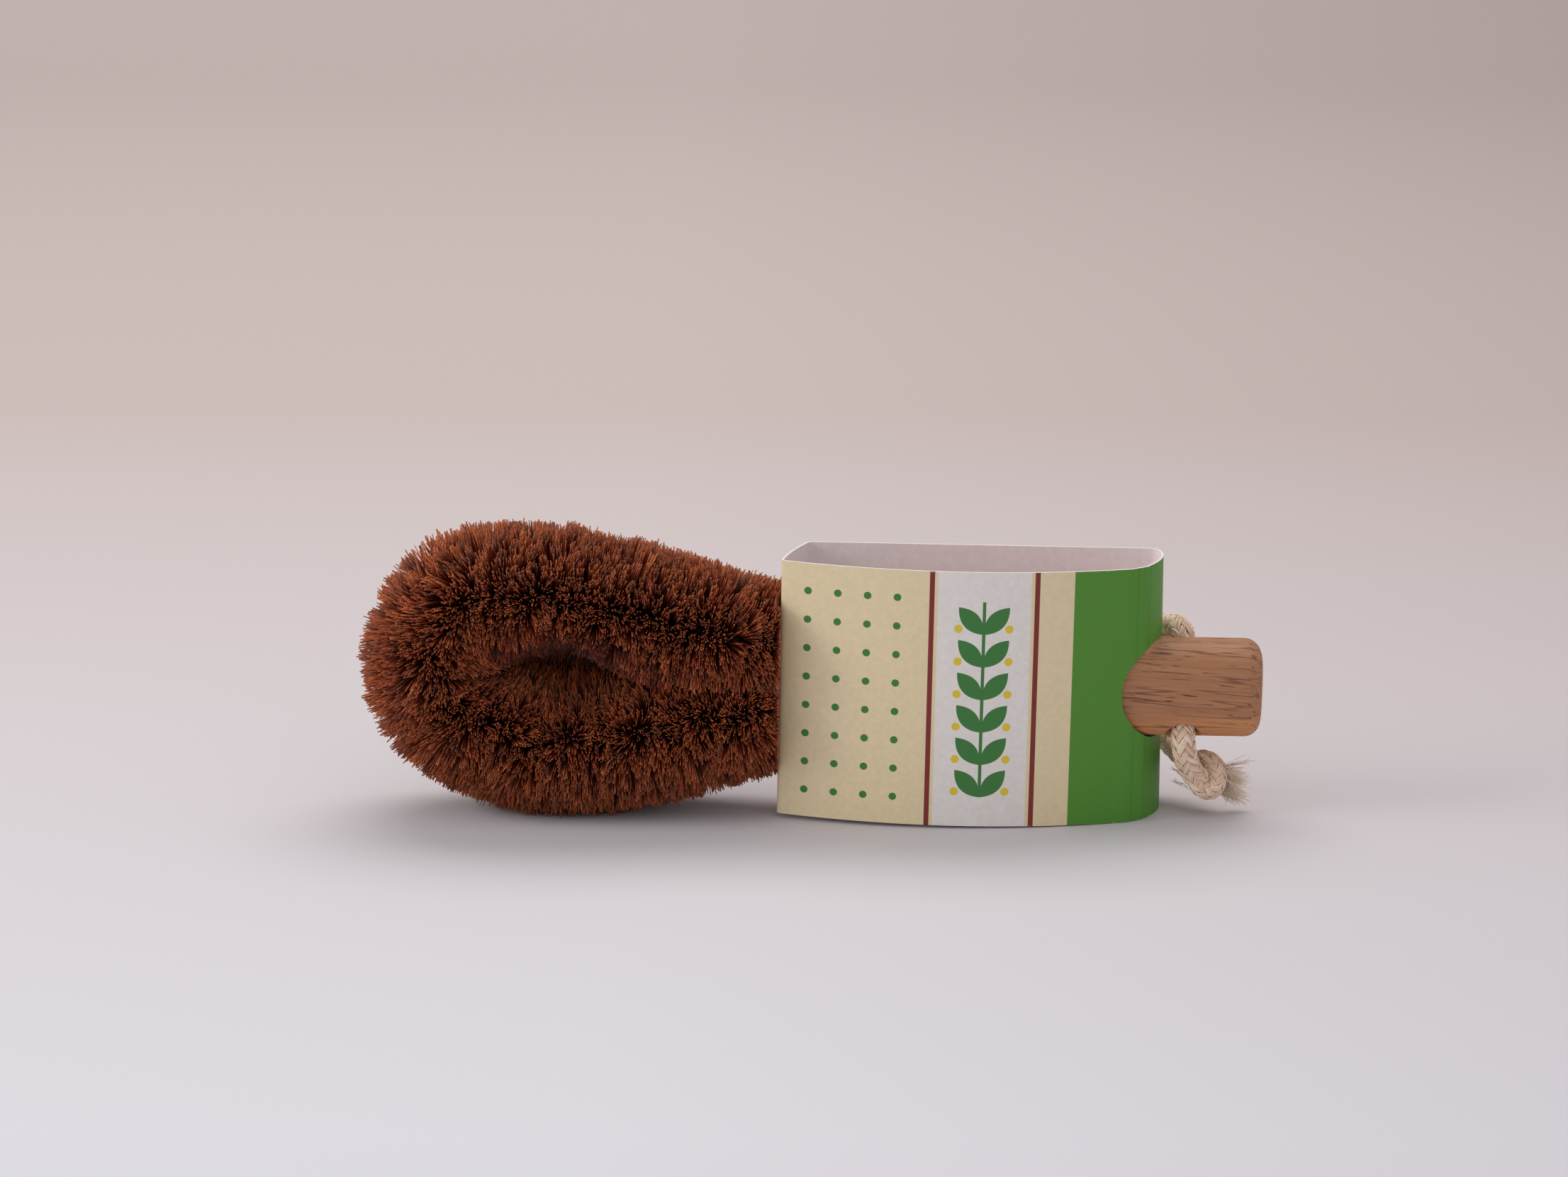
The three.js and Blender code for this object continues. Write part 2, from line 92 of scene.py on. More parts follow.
MM = 0.001
handle_front = -HANDLE_LENGTH
tail_mount = next(m for m in frame["record"]["mounts"] if m["name"] == "handle_end")
tail_end = Vector(tail_mount["pos_m"])
along = Vector(tail_mount["axis"]).normalized()
away = Vector((0, 1, 0))
up = along.cross(away)


def laid(points):
    """Points in millimetres on the brush's own axes, put into the frame in metres."""
    return np.asarray(points, float) * MM @ np.array([along, away, up]) + np.array(tail_end)


def piece_from(name, points, triangles, uv=None):
    """A smooth mesh object of points on the brush's axes; uv is one place on the map for each point."""
    mesh = bpy.data.meshes.new(name)
    mesh.vertices.add(len(points))
    mesh.vertices.foreach_set("co", laid(points).astype(np.float32).ravel())
    corners = np.asarray(triangles, np.int32)
    mesh.loops.add(corners.size)
    mesh.loops.foreach_set("vertex_index", corners.ravel())
    mesh.polygons.add(len(corners))
    mesh.polygons.foreach_set("loop_start", np.arange(0, corners.size, 3, dtype=np.int32))
    mesh.update(calc_edges=True)
    mesh.shade_smooth()
    if uv is not None:
        places = mesh.uv_layers.new(name="OFBake")
        places.uv.foreach_set("vector", np.asarray(uv, np.float32)[corners.ravel()].ravel())
    piece = bpy.data.objects.new(name, mesh)
    scene.collection.objects.link(piece)
    return piece


def skin_over(rings, closed=False):
    """Points and triangles of a skin over rings of as many points each.

    Closed rings meet again at the first one, and others have a fan over each end.
    """
    rings = np.asarray(rings, float)
    total, count = rings.shape[:2]
    points = rings.reshape(-1, 3)
    ring, turn = np.meshgrid(np.arange(total if closed else total - 1), np.arange(count), indexing="ij")
    a, b = (ring * count + (turn + step) % count for step in (0, 1))
    c, d = ((ring + 1) % total * count + (turn + step) % count for step in (0, 1))
    triangles = [np.stack([a, b, d], axis=-1).reshape(-1, 3), np.stack([a, d, c], axis=-1).reshape(-1, 3)]
    if not closed:
        k = np.arange(count)
        following = (k + 1) % count
        last = (total - 1) * count
        middle = np.full(count, len(points))
        points = np.concatenate([points, rings[[0, -1]].mean(axis=1)])
        triangles += [
            np.stack([middle, following, k], axis=1),
            np.stack([middle + 1, last + k, last + following], axis=1),
        ]
    return points, np.concatenate(triangles)


def full_turn(count):
    """Angles spread evenly over one full turn."""
    return np.linspace(0, 2 * math.pi, count, endpoint=False)


def oval_ring(x, depth, height, squareness, middle_y=0):
    """An oval section square to the handle, its corners filled out as squareness grows past 2."""
    turn = full_turn(HANDLE_SIDES)
    across = np.sign(np.cos(turn)) * np.abs(np.cos(turn)) ** (2 / squareness)
    rise = np.sign(np.sin(turn)) * np.abs(np.sin(turn)) ** (2 / squareness)
    return np.stack([np.full(HANDLE_SIDES, x), middle_y + across * depth / 2, rise * height / 2], axis=1)


def handle_ring(x, inset):
    return oval_ring(x, HANDLE_DEPTH - 2 * inset, HANDLE_HEIGHT - 2 * inset, HANDLE_SQUARENESS)


def turned(radii, places, axis, centre):
    """A round cutter: a radius at each place along an axis through a centre."""
    axis = np.array(axis)
    across = np.array([1.0, 0, 0]) if abs(axis[0]) < 0.5 else np.array([0, 1.0, 0])
    third = np.cross(axis, across)
    turn = full_turn(CUTTER_SIDES)[:, None]
    circle = np.cos(turn) * across + np.sin(turn) * third
    return [np.array(centre) + place * axis + radius * circle for radius, place in zip(radii, places)]


def cut_away(piece, cutter):
    """Takes the cutter's shape out of the piece, after which the cutter is gone."""
    cut = piece.modifiers.new("cut", "BOOLEAN")
    cut.object = cutter
    cut.solver = "EXACT"
    graph = bpy.context.evaluated_depsgraph_get()
    left = bpy.data.meshes.new_from_object(piece.evaluated_get(graph))
    piece.modifiers.clear()
    piece.data = left
    bpy.data.objects.remove(cutter)


front_turns = np.linspace(0, math.pi / 2, FRONT_STEPS)
tail_turns = np.linspace(0, math.pi / 2, TAIL_STEPS)
handle_rings = [
    handle_ring(handle_front + FRONT_ROUND * (1 - math.sin(t)), FRONT_ROUND * (1 - math.cos(t)))
    for t in front_turns[::-1]
]
handle_rings += [
    handle_ring(x, 0)
    for x in np.arange(handle_front + FRONT_ROUND + RING_STEP, -TAIL_ROUND - 1, RING_STEP)
]
handle_rings += [
    handle_ring(-TAIL_ROUND * (1 - math.sin(t)), TAIL_ROUND * (1 - math.cos(t))) for t in tail_turns
]
handle = piece_from("wood_handle", *skin_over(handle_rings))

hole_axis = np.array([0, math.sin(CORD_HOLE_TILT), math.cos(CORD_HOLE_TILT)])
mouth_reach = (
    (hole_axis[1] / (HANDLE_DEPTH / 2)) ** HANDLE_SQUARENESS
    + (hole_axis[2] / (HANDLE_HEIGHT / 2)) ** HANDLE_SQUARENESS
) ** (-1 / HANDLE_SQUARENESS)
hole_places = np.concatenate([
    np.linspace(-mouth_reach - CUTTER_REACH, MOUTH_DEPTH - mouth_reach, MOUTH_STEPS),
    np.linspace(mouth_reach - MOUTH_DEPTH, mouth_reach + CUTTER_REACH, MOUTH_STEPS),
])
past_flare = np.maximum(0, np.abs(hole_places) - mouth_reach + MOUTH_DEPTH) / MOUTH_DEPTH
hole_radii = CORD_HOLE_RADIUS + MOUTH_FLARE * past_flare ** MOUTH_CURVE
hole_rings = turned(hole_radii, hole_places, hole_axis, (CORD_HOLE_X, 0, 0))
cut_away(handle, piece_from("cord_hole_cutter", *skin_over(hole_rings)))
for side in (-1, 1):
    bore_rings = turned([STEM_BORE_RADIUS] * 2, [-FRONT_ROUND, STEM_DEPTH], (1, 0, 0),
                        (handle_front, 0, side * STEM_SPACING / 2))
    cut_away(handle, piece_from("stem_bore_cutter", *skin_over(bore_rings)))
handle.data.set_sharp_from_angle(angle=HANDLE_SHARP)


def paint(colour, alpha=1.0):
    """A colour as it reads on screen, 0 to 255, as the linear values that a shader takes."""
    shares = [c / 255 for c in colour]
    return (*[c / 12.92 if c <= 0.04045 else ((c + 0.055) / 1.055) ** 2.4 for c in shares], alpha)


def shade(tree, kind, inputs=None, **settings):
    """Adds a shader node, sets its settings, and sets or links its inputs."""
    made = tree.nodes.new("ShaderNode" + kind)
    for name, value in settings.items():
        setattr(made, name, value)
    for name, value in (inputs or {}).items():
        if isinstance(value, bpy.types.NodeSocket):
            tree.links.new(value, made.inputs[name])
        else:
            made.inputs[name].default_value = value
    return made


def maths(tree, operation, *values):
    return shade(tree, "Math", dict(enumerate(values)), operation=operation).outputs[0]


def ranged(tree, value, low, high, to_low=0.0, to_high=1.0):
    """The value's place between low and high, held to the ends."""
    ends = {"Value": value, "From Min": low, "From Max": high, "To Min": to_low, "To Max": to_high}
    return shade(tree, "MapRange", ends).outputs["Result"]


def mixed(tree, share, first, second, kind="MIX"):
    """Two colours mixed by a share."""
    made = shade(tree, "Mix", {0: share, 6: first, 7: second}, data_type="RGBA", blend_type=kind)
    return made.outputs[2]


def brush_place(tree):
    """A texture place in millimetres on the brush's own axes."""
    own_axes = Matrix((along, away, up)).transposed()
    place = {
        "Vector": shade(tree, "TexCoord").outputs["Object"],
        "Location": tail_end,
        "Rotation": own_axes.to_euler(),
        "Scale": (MM, MM, MM),
    }
    return shade(tree, "Mapping", place, vector_type="TEXTURE").outputs["Vector"]


def stretched_noise(tree, place, stretch, detail=2.0, roughness=0.5):
    """Cloudy noise, with so many features to the millimetre along each axis."""
    scaled = shade(tree, "VectorMath", {0: place, 1: stretch}, operation="MULTIPLY").outputs[0]
    cloud = {"Vector": scaled, "Scale": 1.0, "Detail": detail, "Roughness": roughness}
    return shade(tree, "TexNoise", cloud).outputs["Fac"]


def new_finish(name):
    """A material with its node tree and its shader."""
    material = bpy.data.materials.new(name)
    material.use_nodes = True
    return material, material.node_tree, material.node_tree.nodes["Principled BSDF"]


wood, tree, finish = new_finish("bare hardwood")
on_handle = shade(tree, "SeparateXYZ", {"Vector": brush_place(tree)}).outputs
height = on_handle["Z"]
sloped = maths(tree, "MULTIPLY_ADD", on_handle["X"], GRAIN_SLOPE, height)
grain = shade(tree, "CombineXYZ", {"X": on_handle["X"], "Y": on_handle["Y"], "Z": sloped}).outputs[0]
streak = ranged(tree, stretched_noise(tree, grain, STREAKS, 4, 0.62), 0.34, 0.66)
broad = stretched_noise(tree, grain, BROAD_BANDS, 2)
# Painted bounce light: the wood turns lighter and warmer towards its underside, where light comes up from
# the floor, and broad bands of warmer wood run along it at random
warmth_and_underlight = maths(tree, "ADD", ranged(tree, height, UNDERLIGHT_FROM_Z, UNDERLIGHT_FULL_Z),
               ranged(tree, broad, 0.45, 0.7, -0.25, 0.35))
body = mixed(tree, streak, paint(WOOD_LIGHT), paint(WOOD_DARK))
body = mixed(tree, ranged(tree, warmth_and_underlight, 0.25, 1.1, 0.0, WARM_UNDERLIGHT_SHARE), body, paint(WOOD_WARM_UNDERLIT))
dash = ranged(tree, stretched_noise(tree, grain, DASHES, 1), 0.64, 0.67)
patch = ranged(tree, stretched_noise(tree, grain, DASH_PATCHES, 1), 0.42, 0.55)
vein_cloud = maths(tree, "SUBTRACT", stretched_noise(tree, grain, VEINS, 2.5), 0.5)
vein = ranged(tree, maths(tree, "ABSOLUTE", vein_cloud), 0.032, 0.008)
broken = ranged(tree, stretched_noise(tree, grain, VEIN_BREAKS, 2), 0.43, 0.53)
pores = maths(tree, "MAXIMUM", maths(tree, "MULTIPLY", dash, patch),
              maths(tree, "MULTIPLY", maths(tree, "MULTIPLY", vein, broken), VEIN_SHADE))
body = mixed(tree, maths(tree, "MULTIPLY", pores, PORE_SHADE), body, paint(WOOD_PORE))
tree.links.new(body, finish.inputs["Base Color"])
tree.links.new(ranged(tree, streak, 0.0, 1.0, 0.5, 0.62), finish.inputs["Roughness"])
relief = maths(tree, "SUBTRACT", maths(tree, "MULTIPLY", streak, 0.25), pores)
bump = shade(tree, "Bump", {"Height": relief, "Strength": 0.35, "Distance": 0.15 * MM})
tree.links.new(bump.outputs["Normal"], finish.inputs["Normal"])
finish.inputs["Specular IOR Level"].default_value = 0.35

handle.data.materials.append(wood)
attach(handle, "brush")
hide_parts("handle")

# Core wires: two bright steel wires twisted round each other, which pinch the coir between them.
# The pair is bent into one long loop, and both its ends are glued into the handle's bores.
WIRE_DIAMETER = 1.5
WIRE_OFFSET = 1.05
TWIST_PITCH = 13
STEM_END_GAP = 0.5
LOOP_LENGTH = 94.4
LOOP_PROFILE = [(14.5, 7.6, 7.2), (53, 15.5, 15.4), (70, 18.4, 16.2), (88.8, 15.6, 8.6)]
HEAD_RISE = 1.1
WIRE_STEP = 0.6
WIRE_SIDES = 10
SPAN_POINTS = 60
DRAWN_MARKS = (6, 6, 6)
STEEL = (168, 168, 166)
DULL_STEEL = (128, 126, 122)


def run_along(line):
    """How far along a line each of its points lies."""
    return np.concatenate([[0], np.linalg.norm(np.diff(line, axis=0), axis=1).cumsum()])


def line_at(places, run, line):
    """A line's points at places along its run."""
    return np.stack([np.interp(places, run, column) for column in line.T], axis=-1)


def smooth_route(points, step):
    """A smooth line through points, as rows that lie a step apart."""
    p = np.asarray(points, float)
    p = np.concatenate([[2 * p[0] - p[1]], p, [2 * p[-1] - p[-2]]])
    fine = np.linspace(0, 1, SPAN_POINTS, endpoint=False)[:, None]
    spans = []
    for before, start, end, after in zip(p, p[1:], p[2:], p[3:]):
        d0, d1, d2 = [math.sqrt(np.linalg.norm(b - a)) for a, b in
                      ((before, start), (start, end), (end, after))]
        leave = (start - before) / d0 - (end - before) / (d0 + d1) + (end - start) / d1
        arrive = (end - start) / d1 - (after - start) / (d1 + d2) + (after - end) / d2
        spans.append(
            (2 * fine ** 3 - 3 * fine ** 2 + 1) * start + (fine ** 3 - 2 * fine ** 2 + fine) * leave * d1
            + (3 * fine ** 2 - 2 * fine ** 3) * end + (fine ** 3 - fine ** 2) * arrive * d1
        )
    line = np.concatenate([*spans, p[-2:-1]])
    run = run_along(line)
    places = np.linspace(0, run[-1], max(2, round(run[-1] / step) + 1))
    return line_at(places, run, line)


def unit(vectors):
    return vectors / np.linalg.norm(vectors, axis=-1, keepdims=True)


def tubes(centres, across, widths, sides):
    """Points and triangles of many closed tubes.

    centres holds tubes by points by xyz, across a direction to one side, and widths each half width,
    or two of them for an oval tube.
    """
    count, steps = centres.shape[:2]
    tangent = unit(np.gradient(centres, axis=1))
    first = unit(across - (across * tangent).sum(axis=-1, keepdims=True) * tangent)
    second = np.cross(tangent, first)
    widths = np.broadcast_to(np.asarray(widths, float), (count, steps, 2))
    turn = full_turn(sides)
    points = (
        centres[:, :, None]
        + (widths[..., :1] * np.cos(turn))[..., None] * first[:, :, None]
        + (widths[..., 1:] * np.sin(turn))[..., None] * second[:, :, None]
    ).reshape(-1, 3)
    start = np.arange(count)[:, None, None] * steps * sides
    ring = np.arange(steps - 1)[None, :, None] * sides
    k = np.arange(sides)[None, None, :]
    a = start + ring + k
    b = start + ring + (k + 1) % sides
    fan = np.arange(1, sides - 1)[None, :]
    root = start[:, :, 0]
    tip = root + (steps - 1) * sides
    none = np.zeros_like(fan)
    triangles = np.concatenate([
        np.stack([a, b, b + sides], axis=-1).reshape(-1, 3),
        np.stack([a, b + sides, a + sides], axis=-1).reshape(-1, 3),
        np.stack([root + none, root + fan + 1, root + fan], axis=-1).reshape(-1, 3),
        np.stack([tip + none, tip + fan, tip + fan + 1], axis=-1).reshape(-1, 3),
    ])
    return points, triangles


def loop_point(reach, z):
    return (handle_front - reach, 0, z)


stem_reaches = (STEM_END_GAP - STEM_DEPTH, -STEM_DEPTH / 2, 0)
stem = [(reach, STEM_SPACING / 2, STEM_SPACING / 2) for reach in stem_reaches]
upper_half = [loop_point(reach, rise) for reach, rise, drop in stem + LOOP_PROFILE]
lower_half = [loop_point(reach, -drop) for reach, rise, drop in stem + LOOP_PROFILE]
loop = smooth_route([*upper_half, loop_point(LOOP_LENGTH, HEAD_RISE), *lower_half[::-1]], WIRE_STEP)
loop_run = run_along(loop)
loop_tangent = unit(np.gradient(loop, axis=0))


def loop_at(distance):
    """The loop's point, direction and outward side at distances along it."""
    point = line_at(distance, loop_run, loop)
    ahead = unit(line_at(distance, loop_run, loop_tangent))
    out = np.stack([ahead[..., 2], np.zeros_like(ahead[..., 0]), -ahead[..., 0]], axis=-1)
    return point, ahead, out


steel, tree, finish = new_finish("drawn steel wire")
drawn = stretched_noise(tree, brush_place(tree), DRAWN_MARKS, 3)
tree.links.new(mixed(tree, drawn, paint(STEEL), paint(DULL_STEEL)), finish.inputs["Base Color"])
tree.links.new(ranged(tree, drawn, 0.3, 0.7, 0.26, 0.44), finish.inputs["Roughness"])
finish.inputs["Metallic"].default_value = 1.0

for name, phase in (("a", 0), ("b", math.pi)):
    point, ahead, out = loop_at(loop_run)
    twist = (phase + 2 * math.pi * loop_run / TWIST_PITCH)[:, None]
    centres = point + WIRE_OFFSET * (np.cos(twist) * out + np.sin(twist) * np.array([0, 1.0, 0]))
    wire_tube = tubes(centres[None], out[None], WIRE_DIAMETER / 2, WIRE_SIDES)
    wire = piece_from("twisted_wire_" + name, *wire_tube)
    wire.data.materials.append(steel)
    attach(wire, "brush")
    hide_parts("core_wire_" + name)

# Coir: stiff brown coconut fibres about a third of a millimetre thick, standing out all round the wires
# and trimmed to one length. They lie in small tufts, crowd together inside the loop and fan out at its
# tip. The fibres are made in four lengths of the loop, each on a packed root.
BRISTLE_REACH = 17.8
NECK_BRISTLE_REACH = 15.8
NECK_TAPER = 34
BRISTLES_START_X = -116.7
INNER_SHARE = 0.8
INTERLEAVE = 1.2
BACK_INTERLEAVE = 5
BACK_FILL = 6.5
LEAST_SLOPE = 0.2
HOLLOW = 2.0
HOLLOW_RISE = 0.8
HOLLOW_FROM_X = -149
HOLLOW_FULL_X = -158
BOWL_X = -164
BOWL_LENGTH = 13
BOWL_UPPER = 0.46
BOWL_LOWER = 0.44
SHADED_LENGTH = 16
DRIFT = 0.8
DRIFT_WAVES = 9
DRIFT_SEED = 29
TUFT = 2.4
TUFT_PULL = (0.2, 0.7)
TUFT_TRIM = 0.02
TUFT_TONE = 0.16
TUFT_SEED = 30
FIBRES_IN_A_LENGTH = 14000
FIBRE_SEED = 31
FIBRE_POINTS = 3
FIBRE_SIDES = 3
FIBRE_WIDTH = 0.185
WIDTH_SPREAD = (0.75, 1.25)
FIBRE_TAPER = (1.1, 0.85)
FIBRE_ROOT = 3.2
PACKED_ROOT = 6.0
ROOT_RINGS = 24
ROOT_SIDES = 24
RIM_PULL = 0.22
TIP_SCATTER = 0.5
TIP_TURN_SCATTER = 0.035
TRIM_SCATTER = 0.025
INNER_TRIM = 0.2
STRAY_SHARE = 0.012
STRAY_EXTRA = (0.02, 0.07)
BEND_AT = 0.55
BEND_SCATTER = 0.3
END_SPLAY = 4.0
END_SPLAY_OVER = 5.0
END_CROWD = 0.08
END_CROWD_OVER = 2.5
CARD_FOLD = (-116.1, -7.7)
CARD_SIDE_SLOPE = 0.365
BEFORE_CARD_Y = -9.5
BEFORE_CARD_X = -114.8
FLOOR_GAP = 0.2
SHADES = 48
SHADE_MIDDLE = 0.46
SHADE_SPREAD = 0.23
COLUMN_PLACES = (0.2, 0.5, 0.8)
ROOT_COLUMNS = (0.3, 0.6)
ROOT_DEPTH = 0.05
ROOT_SHADE = 0.75
CUT_END_SHADE = 0.32
COIR_DARK = (61, 33, 28)
COIR_BROWN = (127, 55, 33)
COIR_TAN = (182, 83, 42)
COIR_PALE = (204, 124, 75)
COIR_ROOT_SHADE_PAINT = (40, 28, 26)


def strand_shades(tree, shades, first, last, between):
    """A strand's column on the map as a share, its colour, and its place up the column."""
    place = shade(tree, "SeparateXYZ", {"Vector": shade(tree, "UVMap", uv_map="OFBake").outputs["UV"]})
    counted = maths(tree, "FLOOR", maths(tree, "MULTIPLY", place.outputs["X"], shades))
    column = maths(tree, "DIVIDE", counted, shades - 1)
    tone = shade(tree, "ValToRGB", {"Fac": column})
    tone.color_ramp.elements[0].color = paint(first)
    tone.color_ramp.elements[1].color = paint(last)
    for share, colour in between:
        tone.color_ramp.elements.new(share).color = paint(colour)
    return column, tone.outputs["Color"], place.outputs["Y"]


coir, tree, finish = new_finish("coconut fibre")
column, tone, from_root = strand_shades(
    tree, SHADES, COIR_DARK, COIR_PALE, [(0.35, COIR_BROWN), (0.8, COIR_TAN)]
)
# Painted shade: each fibre darkens towards its root, deep in the packed brush
painted_root_shade = mixed(tree, ranged(tree, from_root, 0.0, 0.8, ROOT_SHADE, 0.0), tone, paint(COIR_ROOT_SHADE_PAINT))
cut_end = mixed(tree, ranged(tree, from_root, 0.85, 1.0, 0.0, CUT_END_SHADE), painted_root_shade, paint(COIR_PALE))
tree.links.new(cut_end, finish.inputs["Base Color"])
tree.links.new(ranged(tree, column, 0.0, 1.0, 0.58, 0.44), finish.inputs["Roughness"])
finish.inputs["Specular IOR Level"].default_value = 0.26

stem_end = np.argmax(loop_run > STEM_DEPTH)
bristles_from = loop_run[stem_end + np.argmax(loop[stem_end:, 0] < BRISTLES_START_X)]
bristles_to = loop_run[-1] - bristles_from
turn_rate = np.linalg.norm(np.gradient(loop_tangent, axis=0), axis=1) / WIRE_STEP


def held(values):
    """Values held between 0 and 1."""
    return np.clip(values, 0, 1)


def fibre_reach(distance, angle):
    """How far from the wires fibres end: full length outwards, less where they meet inside the loop."""
    from_neck = np.minimum(distance - bristles_from, bristles_to - distance)
    grown = held(from_neck / NECK_TAPER)
    grown = grown * grown * (3 - 2 * grown)
    full = NECK_BRISTLE_REACH + (BRISTLE_REACH - NECK_BRISTLE_REACH) * grown
    point, ahead, out = loop_at(distance)
    inward = np.maximum(-np.cos(angle), 1e-6)
    hollow = held((point[:, 0] - HOLLOW_FROM_X) / (HOLLOW_FULL_X - HOLLOW_FROM_X))
    behind = held(np.sin(angle) + 0.2)
    full += BACK_FILL * hollow * behind * held(-np.cos(angle))
    hollow *= held(0.5 - np.sin(angle))
    meeting = HEAD_RISE + HOLLOW_RISE * hollow
    to_middle = np.abs(point[:, 2] - meeting) / np.maximum(np.abs(out[:, 2]), LEAST_SLOPE)
    bend = INNER_SHARE / np.maximum(np.interp(distance, loop_run, turn_rate), 1e-3)
    room = np.minimum(to_middle + INTERLEAVE + BACK_INTERLEAVE * behind - HOLLOW * hollow, bend)
    bowl = np.exp(-((point[:, 0] - BOWL_X) / BOWL_LENGTH) ** 2) * held(-np.cos(angle) - 0.1)
    bowl *= held(0.4 - np.sin(angle)) * np.where(out[:, 2] > 0, BOWL_UPPER, BOWL_LOWER)
    return (1 - bowl) * np.minimum(full, np.maximum(PACKED_ROOT, room / inward))


def around_loop(distance, angle, radius):
    """Points at a radius and angle round the wires."""
    point, ahead, out = loop_at(distance)
    facing = np.cos(angle)[:, None] * out + np.sin(angle)[:, None] * np.array([0, 1.0, 0])
    return point + radius[:, None] * facing


drift_chance = np.random.default_rng(DRIFT_SEED)
drift_waves = drift_chance.uniform((0.25, -5, 0), (0.8, 5, 2 * math.pi), (2, DRIFT_WAVES, 3))


def drift(distance, angle, waves):
    """A slow wander in millimetres, which parts and gathers the fibres over the brush."""
    turns = np.round(waves[:, 1])
    phase = waves[:, 0] * distance[:, None] + turns * angle[:, None] + waves[:, 2]
    return DRIFT * np.sin(phase).sum(axis=1) / math.sqrt(len(waves) / 2)


tuft_chance = np.random.default_rng(TUFT_SEED)
tuft_angle = TUFT / BRISTLE_REACH
tufts = (int(bristles_to / TUFT) + 1, int(2 * math.pi / tuft_angle) + 1)
tuft_middle = tuft_chance.random((2, *tufts))
tuft_pull = tuft_chance.uniform(*TUFT_PULL, tufts)
tuft_trim = tuft_chance.normal(0, TUFT_TRIM, tufts)
tuft_tone = tuft_chance.normal(0, TUFT_TONE, tufts)


